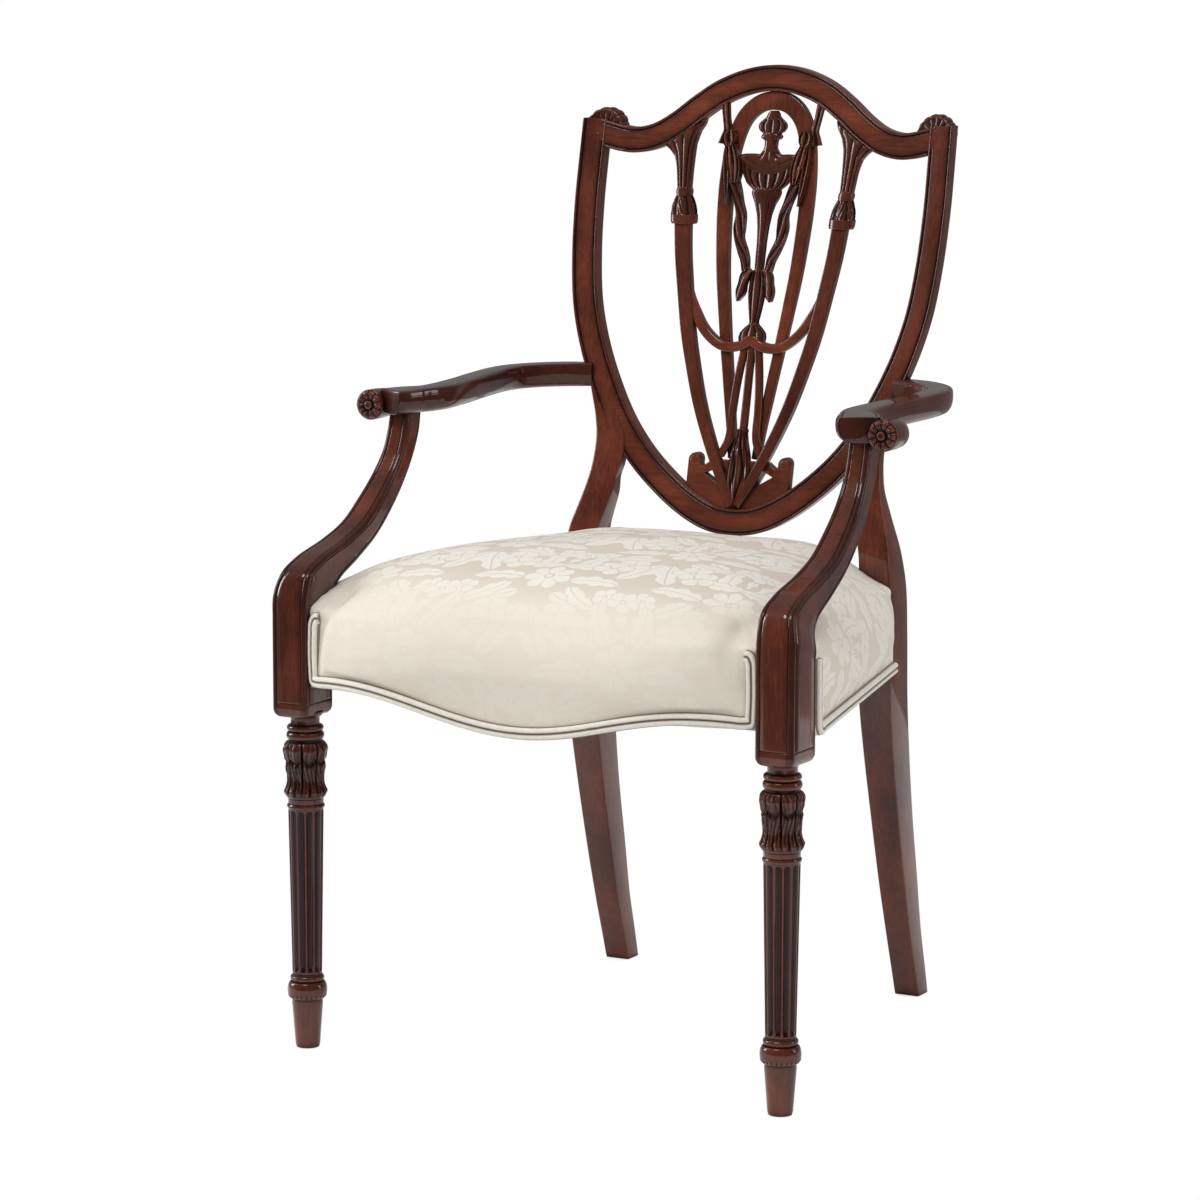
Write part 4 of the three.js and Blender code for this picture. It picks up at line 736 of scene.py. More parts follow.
        # The third number of the cloth attribute is painted satin sheen: the figure's contrast, low on the front
        # and full on the top.
        u, v, strength = g.split(cloth)
        wander = g.noise(cloth, 22.0, 2.0) - 0.5
        x, y = u + wander * 0.0035, v + wander * 0.0035
        figure = self.figure(g, x, y)
        weft, warp = abs(u.wave(900.0)), abs(v.wave(620.0))
        slub = g.noise(g.vector("MULTIPLY", cloth, (0.12, 1.0, 1.0)), 900.0, 3.0)
        ground = g.colour(strength, self.sheen_washed, self.ground)
        tone = g.colour(figure, ground, g.colour(strength, self.sheen_washed, self.ivory))
        tone = g.colour(slub.step(0.45, 0.8) * 0.10, tone, (0.55, 0.48, 0.40))
        shade = g.openness(0.02)
        tone = g.colour((1.0 - shade).step(0.3, 1.0) * 0.55, tone, (0.36, 0.27, 0.19))
        return {
            "Base Color": tone,
            "Roughness": 0.6 - figure * strength * 0.16 + slub * 0.08,
            "Normal": g.relief((weft + warp) * 0.35, 0.00025, 0.55),
            "Sheen Weight": 0.25,
            "Sheen Roughness": 0.4,
            "Sheen Tint": (1.0, 0.97, 0.93, 1.0),
            "Specular IOR Level": 0.35,
        }


@dataclass(frozen=True)
class PipingCloth(Finish):
    """Ivory satin cut on the bias over the piping cords."""

    name: str = "piping"

    def inputs(self, g: Graph) -> dict:
        """Shader inputs of the satin.

        Args:
            g: The material's graph.

        Returns:
            The inputs by name.
        """
        here = g.place()
        x, y, z = g.split(here)
        bias = abs((x * 0.7 + y * 0.7 + z).wave(560.0)) * 0.5 + abs((x * 0.7 + y * 0.7 - z).wave(560.0)) * 0.5
        soft = g.noise(here, 160.0, 3.0)
        seam_and_crease_shade = g.noted("seam_and_crease_shade")
        tone = g.colour(soft.step(0.3, 0.8), (0.74, 0.685, 0.60), (0.82, 0.775, 0.70))
        shade = g.openness(0.004)
        # Dark brown: the seam line between the cords, with painted shade in the crease and from ambient occlusion.
        mark_and_painted_light = (seam_and_crease_shade + (1.0 - shade).step(0.35, 0.95) * 0.8).least(1.0)
        tone = g.colour(mark_and_painted_light * 0.85, tone, (0.14, 0.08, 0.045))
        return {
            "Base Color": tone,
            "Roughness": 0.6 + soft * 0.1,
            "Normal": g.relief(bias + soft * 0.6, 0.00018, 0.5),
            "Sheen Weight": 0.2,
            "Sheen Roughness": 0.4,
        }


class Finishes:
    """Every finish of the chair, built once."""

    def __init__(self) -> None:
        """Builds the materials."""
        self.upright = Lacquer("mahogany_upright", Grain.UP).material()
        self.across = Lacquer("mahogany_across", Grain.ACROSS).material()
        self.along = Lacquer("mahogany_along", Grain.ALONG, (0.10, 0.023, 0.012), (0.018, 0.005, 0.0036)).material()
        self.post = Lacquer("mahogany_post", Grain.UP, (0.165, 0.037, 0.018), (0.024, 0.0064, 0.0042)).material()
        self.carved = Lacquer(
            "mahogany_carved", Grain.UP, light=(0.15, 0.040, 0.021), roughness=0.28, glaze_and_shade_share=0.94, mark_and_painted_light=0.4
        ).material()
        self.damask = Damask().material()
        self.piping = PipingCloth().material()
        beech = dict(colour=(0.42, 0.29, 0.16), second=(0.55, 0.40, 0.25), roughness=0.65)
        self.beech_across = PlainFinish("beech_across", stretch=(0.08, 1.0, 1.0), **beech).material()
        self.beech_along = PlainFinish("beech_along", stretch=(1.0, 0.08, 1.0), **beech).material()
        self.steel = PlainFinish("steel", (0.42, 0.41, 0.39), (0.55, 0.54, 0.52), 0.35, 1.0, 900.0).material()
        jute = ((0.30, 0.19, 0.09), (0.46, 0.32, 0.17))
        self.jute = PlainFinish("jute_webbing", *jute, roughness=0.9, woven=True).material()
        dark = ((0.012, 0.012, 0.012), (0.022, 0.021, 0.021))
        self.dust_cover = PlainFinish("dust_cover", *dark, roughness=0.95, woven=True).material()


# Shared shapes


@dataclass(frozen=True)
class ShieldSurface:
    """The raked and hollowed face that every piece of the back is laid on, in millimetres."""

    height: float = 500.0
    depth: float = 176.9387
    rake: float = 0.2232
    sweep: float = 16200.0
    dish: float = 1360.0

    def y(self, x: Array | float, z: Array | float) -> Array:
        """Depth of the face at a place of the elevation."""
        rise = np.asarray(z, float) - self.height
        return self.depth + self.rake * rise - rise**2 / (2 * self.sweep) - np.asarray(x) ** 2 / (2 * self.dish)

    def lay(self, x: Array, z: Array, back: Array) -> Array:
        """Points of the elevation, in space, set back from the face by a depth."""
        x, z, back = np.broadcast_arrays(x, z, back)
        return np.stack([x, self.y(x, z) + back, z], -1)

    def strip(self, curve: Curve, shares: Array, section: Callable[[Array], Array]) -> Array:
        """Rings of a strip that follows a curve of the elevation.

        Args:
            curve: The strip's middle line.
            shares: Places along it.
            section: Gives, for the places, points across and behind the face, by place, point and axis.

        Returns:
            The rings.
        """
        point, heading = curve.at(shares)
        outline = section(shares)
        across, back = outline[..., 0], outline[..., 1]
        x = point[:, None, 0] - heading[:, None, 1] * across
        z = point[:, None, 1] + heading[:, None, 0] * across
        return self.lay(x, z, back)


FACE = ShieldSurface()


def soft_box(width: float, depth: float, front: float, back: float) -> Array:
    """Outline of a bar with rounded arrises, across and behind its face.

    Args:
        width: Across the face.
        depth: From front to back.
        front: Radius of the front arrises.
        back: Radius of the back arrises.

    Returns:
        The outline.
    """
    half = width / 2
    quarter = np.linspace(0, math.pi / 2, 5)
    cos, sin = np.cos(quarter), np.sin(quarter)
    right_front = np.stack([half - front + front * sin, front - front * cos], -1)
    left_front = np.stack([-half + front - front * cos, front - front * sin], -1)
    right_back = np.stack([half - back + back * cos, depth - back + back * sin], -1)
    left_back = np.stack([-half + back - back * sin, depth - back + back * cos], -1)
    return np.concatenate([left_front, right_front, right_back, left_back])


def bar(curve: Curve, shares: Array, outline: Callable[[float], Array]) -> Skin:
    """Skin of a strip of the elevation, with the outline that belongs to each share."""
    return Skin().loft(FACE.strip(curve, shares, lambda places: np.stack([outline(float(p)) for p in places])))


@dataclass(frozen=True)
class CarvedForm:
    """A carved body on the shield's face: shares of its height and half width, and how it is cut."""

    top: float
    height: float
    half_width: float
    shares: tuple[tuple[float, float], ...]
    recess: float
    depth: float
    x: float = 0.0
    lean: float = 0.0
    soften: float = 0.8
    rows: int = 200
    columns: int = 56

    def skin(
        self,
        cut: Callable[[Array, Array], Array] | None = None,
        sag: Callable[[Array, Array], Array] | None = None,
    ) -> Skin:
        """Builds the body.

        Args:
            cut: Depth of the carving at a share down and an angle from -1 to 1 round the front.
            sag: Drop of the surface at the same places.

        Returns:
            The skin.
        """
        table = np.asarray(self.shares, float)
        down = np.linspace(0, 1, self.rows)
        across = np.interp(down, table[:, 0], table[:, 1])
        reach = self.soften / self.height * self.rows
        kernel = np.exp(-0.5 * (np.arange(-12, 13) / max(reach, 0.3)) ** 2)
        padded = np.concatenate([np.full(12, across[0]), across, np.full(12, across[-1])])
        across = np.convolve(padded, kernel / kernel.sum(), "valid")
        place = np.linspace(-1, 1, self.columns)
        angle = place * math.pi / 2
        half = (across * self.half_width)[:, None]
        t, s = np.meshgrid(down, place, indexing="ij")
        sunk = np.zeros_like(t) if cut is None else cut(t, s)
        drop = np.zeros_like(t) if sag is None else sag(t, s)
        shrink = 1 - np.minimum(np.abs(s) ** 3, 1) * np.clip(sunk, -3, 3) / np.maximum(half, 4)
        x = self.x + self.lean * (1 - t) + half * np.sin(angle)[None] * shrink
        back = (self.depth / 2) * (1 - np.cos(angle))[None] + sunk * np.cos(angle)[None] ** 0.5
        front = FACE.lay(x, self.top - t * self.height - drop, self.recess + back)
        rear = front[:, np.linspace(self.columns - 1, 0, 9).astype(int)].copy()
        rear[..., 1] = FACE.y(rear[..., 0], rear[..., 2]) + self.recess + self.depth
        tone = np.pad(np.clip(sunk / 1.8 - 0.25, 0, 0.9), ((0, 0), (0, 9)))
        return Skin().loft(np.concatenate([front, rear], axis=1), tone=tone)


def flutes(s: Array, count: float, deep: float, phase: float = 0.0) -> Array:
    """Rounded grooves that run down a carved body.

    Args:
        s: Place round the front from -1 to 1.
        count: Grooves over the half round.
        deep: Depth of the grooves.
        phase: Shift in grooves.

    Returns:
        Depth at each place.
    """
    return deep * (1 - np.abs(np.sin(np.pi * (s * count / 2 + phase))) ** 0.8)


# Sub-assemblies


def dress(piece: bpy.types.Object, slot: str, *nodes: str) -> bpy.types.Object:
    """Lets a piece ride on the chair and stand for its CAD nodes.

    Args:
        piece: The finished piece.
        slot: Material slot of the record; not used.
        nodes: CAD nodes that it stands for.

    Returns:
        The piece.
    """
    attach(piece, "root")
    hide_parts(*nodes)
    LOG.info("%s: %d faces", piece.name, len(piece.data.polygons))
    return piece


def dress_skin(skin: Skin, node: str, slot: str, material: bpy.types.Material, sharp: float = 42.0) -> None:
    """Makes the finished piece of one CAD node.

    Args:
        skin: Skin of the piece.
        node: The node's name.
        slot: Material slot of the record.
        material: Finish.
        sharp: Angle from which arrises stay sharp.
    """
    dress(skin.to_object(f"{node}_finished", material, sharp), slot, node)


def dress_pair(skin: Skin, node: str, slot: str, material: bpy.types.Material, sharp: float = 42.0) -> None:
    """Makes the right piece and its mirror image on the left, from the node's name without its side."""
    dress_skin(skin, f"{node}_right", slot, material, sharp)
    dress_skin(skin.mirrored(), f"{node}_left", slot, material, sharp)


@dataclass
class ShieldFrame:
    """Stiles, lower rail, crest and shoulder caps of the shield, with the rear legs in one piece."""

    width: float = 27.6
    depth: float = 20.0
    half_width: float = 205.2
    bottom: float = 506.8
    height: float = 419.2
    shares: tuple = (
        (0, 0), (0.146, 0.01), (0.292, 0.044), (0.439, 0.096), (0.575, 0.158), (0.697, 0.234), (0.804, 0.327),
        (0.892, 0.427), (0.955, 0.535), (0.987, 0.656), (1, 0.783), (1, 0.89), (0.997, 1),
    )
    scarf: float = 628.0
    crest_half: float = 200.0
    crest_dip: float = 904.0
    crest_rise: float = 67.6
    crest_shares: tuple = (
        (0, 1), (0.15, 0.944), (0.3, 0.778), (0.425, 0.54), (0.54, 0.278), (0.65, 0.086), (0.76, 0),
        (0.86, 0.015), (1, 0.118),
    )
    cap_centre: float = 195.0
    cap_base: float = 914.0
    cap_half: float = 23.2
    cap_rise: float = 24.0
    leg_shares: tuple = (
        (0, 0, 0, 0, 0), (0.0625, 0.09, 0.1, 0.02, 0.02), (0.1875, 0.275, 0.27, 0.03, 0.06),
        (0.3375, 0.463, 0.48, 0.3, 0.24), (0.5175, 0.668, 0.65, 0.5, 0.4), (0.6875, 0.84, 0.86, 0.8, 0.6),
        (0.83, 0.965, 0.97, 0.9, 0.95), (1, 1, 1, 1, 1),
    )
    post_shares: tuple = (
        (0.167, -0.02, -0.087, 0.94, 0.4, 0), (0.267, -0.065, -0.196, 0.78, 0.7, 0),
        (0.317, -0.2, -0.304, 0.64, 1, 0), (0.367, -0.4, -0.51, 0.5, 1, 0), (0.433, -0.66, -0.78, 0.33, 1, 0),
        (0.493, -0.78, -0.987, 0.156, 1, 0), (0.54, -0.98, -1.087, 0.08, 1, 0), (0.627, -1, -1.14, 0, 0.9, 0),
        (0.707, -0.52, -0.957, 0, 0.9, 0.2), (0.767, -0.09, -0.7, 0, 0.9, 0.6), (0.86, 0.48, -0.326, 0, 0.9, 1),
    )

    def __post_init__(self) -> None:
        """Draws the shield's two curves."""
        self.outline = symmetric(self.shares, self.half_width, self.bottom, self.height)
        self.crest = symmetric(self.crest_shares, self.crest_half, self.crest_dip, self.crest_rise)

    def section(self) -> Array:
        """Moulded section: a bead along each edge, a groove beside it and a softly crowned field.

        Returns:
            Points across and behind the face.
        """
        half = self.width / 2
        inner = []
        for e in (0.0, 0.15, 0.45, 0.9, 1.5, 2.1, 2.55, 2.9):
            inner.append((e, 1.5 - 1.5 * math.sqrt(max(0.0, 1 - ((e - 1.5) / 1.5) ** 2)) + (0.7 if e < 0.1 else 0)))
        inner += [(3.15, 1.75), (3.5, 1.85), (3.85, 1.6), (4.3, 1.0), (5.2, 0.75), (7.0, 0.6), (10.0, 0.45)]
        left = [(-half + e, d) for e, d in inner]
        right = [(half - e, d) for e, d in inner[::-1]]
        quarter = np.linspace(0, math.pi / 2, 8)
        side = [(half, 3.0), (half, 6.0), (half, 9.0)]
        round_right = [(half - 6.5 * (1 - math.cos(a)), 12 + 8 * math.sin(a)) for a in quarter]
        back = [(x, 20.0) for x in (4.0, 0.0, -4.0)]
        points = left + [(0.0, 0.4)] + right + side + round_right
        points += back + [(-x, d) for x, d in (side + round_right)[::-1]]
        return np.array(points)

    def _glaze(self, section: Array) -> Array:
        """Dark glaze of the section: in the grooves, beside the beads and down the sides.

        Args:
            section: Points of the section.

        Returns:
            Share of glaze at each point.
        """
        away = self.width / 2 - np.abs(section[:, 0])
        front = section[:, 1] < 2.4
        tone = np.where(front, 0.95 * bump(away, 3.5, 0.9) + 0.5 * bump(away, 5.0, 2.2), 0.35)
        return np.where(front & (away < 2.2), 0.3, tone)

    def _cut(self, rings_object: bpy.types.Object, point: Vector, normal: Vector) -> None:
        """Trims a piece by a plane, and fills the cut.

        Args:
            rings_object: The piece.
            point: A point of the plane.
            normal: Side that is cut away.
        """
        work = bmesh.new()
        work.from_mesh(rings_object.data)
        everything = work.verts[:] + work.edges[:] + work.faces[:]
        bmesh.ops.bisect_plane(work, geom=everything, plane_co=point, plane_no=normal, clear_outer=True)
        edges = [edge for edge in work.edges if edge.is_boundary]
        bmesh.ops.holes_fill(work, edges=edges, sides=0)
        work.to_mesh(rings_object.data)
        work.free()

    def _strip(self, curve: Curve, start: float, end: float, steps: int) -> Skin:
        """Strip of the moulded section along one of the curves.

        Args:
            curve: The strip's middle line.
            start: Share of the curve where it starts.
            end: Share where it ends.
            steps: Rings along it.

        Returns:
            Skin of the strip.
        """
        section = self.section()
        shares = np.linspace(start, end, steps)
        rings = FACE.strip(curve, shares, lambda s: np.broadcast_to(section, (len(s), *section.shape)))
        return Skin().loft(rings, tone=self._glaze(section)[None])

    def rear_leg(self) -> Skin:
        """Raked leg and shaped post, with the stile above it.

        Returns:
            The skin.
        """
        rows = []
        seat = self.bottom - 106.8
        for height, front, depth, inner, outer in self.leg_shares:
            y = lerp(front, 251.5387, 158.8387)
            rows.append((height * seat, lerp(inner, 161.8, 157.5), lerp(outer, 190.2, 195.0), y,
                         y + lerp(depth, 25.0, 45.0), 2.2, 2.2))
        for height, inner, outer, depth, rounding, back in self.post_shares:
            z = lerp(height, seat, self.bottom + 193.2)
            inner_x, outer_x = 157.5 + inner * 23.0, 195.0 + outer * 23.0
            y = max(158.8387 + (z - seat) * 0.04, float(FACE.y((inner_x + outer_x) / 2, z)) + back * 4.0)
            rows.append((z, inner_x, outer_x, y, y + lerp(depth, 13.0, 45.0), 2.2, max(2.2, rounding * 5.5)))
        table = Curve(rows, even=False).at(np.linspace(0, 1, 190))[0]
        rings = []
        for z, inner, outer, front, rear, soft, soft_back in table:
            outline = soft_box(outer - inner, rear - front, soft, soft_back)
            x = outline[:, 0] + (inner + outer) / 2
            rings.append(np.stack([x, outline[:, 1] + front, np.full(len(x), z)], -1))
        foot = rings[0].copy()
        foot[:, :2] = foot[:, :2] * 0.985 + foot[:, :2].mean(0) * 0.015
        rings[0][:, 2] = 0.8
        skin = Skin().loft(np.stack([foot] + rings))
        start = self.outline.share_at_height(self.scarf)
        return skin.merge(self._strip(self.outline, start, 1.0, 150))

    def crest_rail(self) -> Skin:
        """Serpentine crest."""
        return self._strip(self.crest, 0.0, 1.0, 260)

    def lower_rail(self) -> Skin:
        """Round lower end of the shield between the scarf joints."""
        end = self.outline.share_at_height(self.scarf)
        return self._strip(self.outline, 1 - end, end, 260)

    def shoulder_cap(self) -> Skin:
        """Carved fan on the shoulder of the shield.

        Returns:
            The skin.
        """
        angle = np.linspace(0, math.pi, 140)
        depth = np.linspace(0, 1, 26)
        a, d = np.meshgrid(angle, depth, indexing="ij")
        lobe = np.abs(np.sin(a * 8.0)) ** 0.6
        edge = np.sin(np.clip(d, 0, 1) * math.pi) ** 0.35
        radius = 0.86 + 0.14 * edge * (0.45 + 0.55 * lobe)
        x = self.cap_centre + self.cap_half * radius * np.cos(a)
        z = self.cap_base + self.cap_rise * radius * np.sin(a)
        surface = FACE.lay(x, z, 2.8 + d * 17.4)
        face_rings = []
        for share in np.linspace(0.12, 1.0, 14)[:-1]:
            ribbed = 2.8 + 1.3 * (1 - lobe[:, 0]) * share + 0.6 * (1 - share)
            px = self.cap_centre + (x[:, 0] - self.cap_centre) * share
            pz = self.cap_base + (z[:, 0] - self.cap_base) * share
            face_rings.append(FACE.lay(px, pz, ribbed)[:, None])
        rings = np.concatenate(face_rings + [surface], axis=1)
        return Skin().loft(rings, tone=0.45 + 0.4 * (1 - lobe[:, :1]))

    def build(self, finishes: Finishes) -> None:
        """Makes the shield frame's pieces.

        Args:
            finishes: The chair's finishes.
        """
        dress_pair(self.rear_leg(), "rear_leg", "mahogany", finishes.upright)
        crest = self.crest_rail().to_object("crest_rail_finished", finishes.across)
        for sign in (1.0, -1.0):
            corner = Vector((191.4 * MM * sign, 0, 897.5 * MM))
            self._cut(crest, corner, Vector((0.78 * sign, 0, -0.62)))
        crest.data.polygons.foreach_set("use_smooth", np.ones(len(crest.data.polygons), bool))
        dress(crest, "mahogany", "crest_rail")
        dress_skin(self.lower_rail(), "shield_lower_rail", "mahogany", finishes.across)
        dress_pair(self.shoulder_cap(), "shoulder_cap", "carved_mahogany", finishes.carved)


@dataclass
class Splat:
    """Pierced splat: arch, ribs, urn, drapes, husk, swag, stems, bud and shoe."""

    arch_half: float = 48.0
    arch_top: float = 948.0
    arch_foot: float = 572.0
    arch_shares: tuple = (
        (0, 1), (0.4, 0.987), (0.72, 0.946), (0.9, 0.879), (0.99, 0.791), (1, 0.697), (0.96, 0.603),
        (0.89, 0.509), (0.78, 0.41), (0.68, 0.327), (0.57, 0.241), (0.47, 0.161), (0.37, 0.08), (0.29, 0),
    )
    rib_foot: float = 521.0
    rib_rise: float = 297.0
    rib_half: float = 93.0
    rib_shares: tuple = (
        (1, 1), (0.962, 0.891), (0.892, 0.762), (0.806, 0.619), (0.699, 0.493), (0.57, 0.364), (0.409, 0.241),
        (0.204, 0.109), (0, 0),
    )
    swag_half: float = 76.0
    swag_low: float = 688.5
    swag_rise: float = 56.5
    swag_shares: tuple = (
        (0, 0.15), (0.13, 0.05), (0.29, 0), (0.46, 0.027), (0.62, 0.15), (0.77, 0.345), (0.89, 0.6), (1, 1),
    )
    stem_top: float = 684.0
    stem_drop: float = 109.0
    stem_shares: tuple = ((0.36, 0), (0.5, 0.22), (0.58, 0.4), (0.63, 0.59), (0.63, 0.74), (0.71, 0.86), (1, 1))
    capital: CarvedForm = CarvedForm(
        916.0, 100.0, 24.6,
        ((0, 1.0), (0.05, 0.93), (0.12, 0.66), (0.22, 0.46), (0.32, 0.4), (0.43, 0.345), (0.58, 0.3), (0.625, 0.29),
         (0.64, 0.34), (0.68, 0.34), (0.695, 0.29), (0.715, 0.38), (0.8, 0.54), (0.9, 0.6), (0.91, 0.58),
         (0.975, 0.58), (1, 0.52)),
        -3.5, 12.5, x=93.0, lean=8.0,
    )
    drape_folds: tuple = (
        (((56.5, 944, 5), (54, 929, 4.4), (51.5, 916, 4.8), (52.5, 908, 6.6), (53.5, 901, 8.4)), 2.5, 0.6, 0.0),
        (((44, 917, 3), (45, 912, 6.8), (45, 905, 6.8), (44.5, 900, 4)), 2.5, 5.8, 0.3),
        (((46, 903, 4), (46.5, 889, 5.2), (46, 873, 4.6), (44.5, 855, 3.2), (42, 838, 1.0)), 2.5, 3.6, 0.5),
        (((45, 903, 4), (41, 891, 6.6), (37.5, 879, 7.2), (35.5, 868, 5.8), (35, 861, 3.4)), 3.5, 4.6, -0.6),
        (((40, 880, 4), (37.5, 866, 5.2), (33.8, 855, 5.2), (28.7, 839.5, 4.4), (25.2, 827, 5.4), (25.6, 814.5, 6),
          (24.3, 802, 4.8), (19.2, 789.7, 5.2), (15.6, 781, 4.4), (13.5, 769, 3.4)), 2.0, 3.4, 3.2),
    )
    urn: CarvedForm = CarvedForm(
        937.2, 167.0, 36.6,
        ((0, 0.1), (0.015, 0.17), (0.04, 0.21), (0.055, 0.3), (0.08, 0.43), (0.105, 0.455), (0.132, 0.38),
         (0.147, 0.24), (0.155, 0.33), (0.175, 0.33), (0.185, 0.2), (0.235, 0.19), (0.27, 0.3), (0.3, 0.49),
         (0.309, 0.93), (0.32, 1), (0.345, 1), (0.354, 0.92), (0.42, 0.82), (0.465, 0.66), (0.5, 0.42),
         (0.508, 0.47), (0.53, 0.45), (0.58, 0.35), (0.65, 0.24), (0.725, 0.18), (0.82, 0.145), (1, 0.13)),
        0.6, 8.4, rows=340, columns=84,
    )
    husk: CarvedForm = CarvedForm(
        769.8, 75.0, 22.0,
        ((0, 0.3), (0.045, 0.38), (0.17, 0.44), (0.3, 0.46), (0.41, 0.42), (0.52, 0.36), (0.63, 0.29), (0.72, 0.22),
         (0.76, 0.25), (0.8, 0.46), (0.87, 0.7), (0.93, 0.76), (1, 0.7)),
        0.6, 8.4, columns=84,
    )
    bud: CarvedForm = CarvedForm(
        604.0, 82.0, 14.0,
        ((0, 0.34), (0.03, 0.42), (0.06, 0.36), (0.2, 0.6), (0.34, 0.8), (0.48, 0.94), (0.6, 1), (0.7, 0.92),
         (0.8, 0.62), (0.9, 0.3), (1, 0.08)),
        -2.6, 11.0,
    )
    shoe_half_depth: float = 4.25
    shoe_rounding: float = 0.9

    def arch_skin(self) -> Skin:
        """Tall pointed arch behind the urn.

        Returns:
            The skin.
        """
        curve = symmetric(self.arch_shares, self.arch_half, self.arch_foot, self.arch_top - self.arch_foot)

        def outline(share: float) -> Array:
            """Section of the arch at a place."""
            foot = abs(2 * share - 1)
            return soft_box(lerp(foot, 20.0, 9.0), 8.0, 1.5, 0.8) + (0.0, lerp(foot**3, 3.6, 12.0))

        return bar(curve, np.linspace(0, 1, 260), outline)

    def _capital_cut(self, t: Array, s: Array) -> Array:
        """Carving of a rib's capital: plume of reeds, ring, leaf bell and collar.

        Args:
            t: Share down.
            s: Place round the front.

        Returns:
            The depth.
        """
        plume = flutes(s, 5.0, 1.7) * (1 - ease(t, 0.6, 0.63))
        tips = 1.0 * np.abs(np.sin(np.pi * s * 2.5)) * bump(t, 0.02, 0.05)
        leaf_edge = 0.5 + 0.5 * np.cos(np.pi * (s * 3.0))
        bell = (t > 0.705) & (t < 0.903)
        leaf = bell * (flutes(s, 3.0, 2.3, 0.5) + 0.8 * np.abs(np.sin(np.pi * (s * 6.0 + t * 9.0))) * leaf_edge)
        return plume + tips + leaf

    def _capital_sag(self, t: Array, s: Array) -> Array:
        """Slope of the plume's top, along the crest."""
        return 12.0 * s * (1 - ease(t, 0.0, 0.45))

    def rib_skin(self) -> Skin:
        """Long curved rib with its carved capital.

        Returns:
            The skin.
        """
        curve = Curve([(x * self.rib_half, self.rib_foot + z * self.rib_rise) for x, z in self.rib_shares])
        skin = bar(
            curve, np.linspace(0, 0.985, 180),
            lambda share: soft_box(lerp(share, 18.0, 10.5), 9.5, 1.6, 1.0) + (0.0, -1.0),
        )
        return skin.merge(self._tucked(self.capital.skin(self._capital_cut, self._capital_sag)))

    def _tucked(self, skin: Skin) -> Skin:
        """Sets back what would stand in front of the crest, so that it ends at the crest's underside.

        Args:
            skin: Skin of the capital.

        Returns:
            The same skin, moved.
        """
        crest = ShieldFrame()
        point, heading = crest.crest.at(np.linspace(0.5, 1.0, 240))
        half = crest.width / 2 - 0.4
        under_x = point[:, 0] + heading[:, 1] * half
        under_z = point[:, 1] - heading[:, 0] * half
        order = np.argsort(under_x)
        for points in skin.points:
            limit = np.interp(np.abs(points[:, 0]), under_x[order], under_z[order])
            points[:, 1] += 9.0 * ease(points[:, 2] - limit, -0.6, 1.4)
            points[:, 2] = np.minimum(points[:, 2], limit + 5.0)
        return skin

    def _urn_cut(self, t: Array, s: Array) -> Array:
        """Carving of the urn: fluted finial, banded rim, gadrooned bowl and reeded stem.

        Args:
            t: Share down.
            s: Place round the front.

        Returns:
            Depth of the carving.
        """
        finial = flutes(s, 5.0, 2.1) * ease(t, 0.045, 0.065) * (1 - ease(t, 0.135, 0.15))
        foot = flutes(s, 5.0, 1.1) * ease(t, 0.24, 0.27) * (1 - ease(t, 0.29, 0.305))
        bowl = flutes(s, 9.0, 2.3) * ease(t, 0.352, 0.37) * (1 - ease(t, 0.475, 0.5))
        reeds = flutes(s, 3.0, 1.0, 0.5) * ease(t, 0.55, 0.6) * (1 - ease(t, 0.97, 1.0))
        rim = 0.9 * (bump(t, 0.313, 0.004) + bump(t, 0.349, 0.004))
        return finial + foot + bowl + reeds + rim

    def _urn_sag(self, t: Array, s: Array) -> Array:
        """Sag of the rim and bowl towards the middle."""
        lift = ease(t, 0.27, 0.312) * (1 - ease(t, 0.36, 0.5))
        return 11.5 * lift * (0.5 - np.sin(s * math.pi / 2) ** 2)

    def _husk_cut(self, t: Array, s: Array) -> Array:
        """Carving of the husk: a reeded stalk over a palmette."""
        reeds = flutes(s, 3.0, 2.1, 0.5) * (1 - ease(t, 0.71, 0.75))
        return reeds + flutes(s, 5.0, 1.9, 0.5) * ease(t, 0.75, 0.78)

    def _husk_sag(self, t: Array, s: Array) -> Array:
        """Scalloped lower edge of the palmette."""
        return 4.0 * (s**2 - 0.3) * ease(t, 0.75, 1.0)

    def husk_skin(self) -> Skin:
        """Husk between two small hanging bells.

        Returns:
            The skin.
        """
        skin = self.husk.skin(self._husk_cut, self._husk_sag)
        for side in (-1.0, 1.0):
            stops = (
                (8 * side, 770, 3.4), (13 * side, 764, 5.4), (15.5 * side, 755, 4.8), (17 * side, 746, 5.4),
                (18.5 * side, 740, 3.0), (19 * side, 737, 0.8),
            )
            skin.merge(self._fold(stops, 1.5, 3.0, 0.35))
        return skin

    def _bud_cut(self, t: Array, s: Array) -> Array:
        """Carving of the bud: long overlapping leaves."""
        leaves = flutes(s + 0.12 * np.sin(t * 9.0), 4.0, 2.4, 0.5) * ease(t, 0.06, 0.15)
        return leaves + 0.7 * np.abs(np.sin(np.pi * (s * 5 + 0.3 * t)))

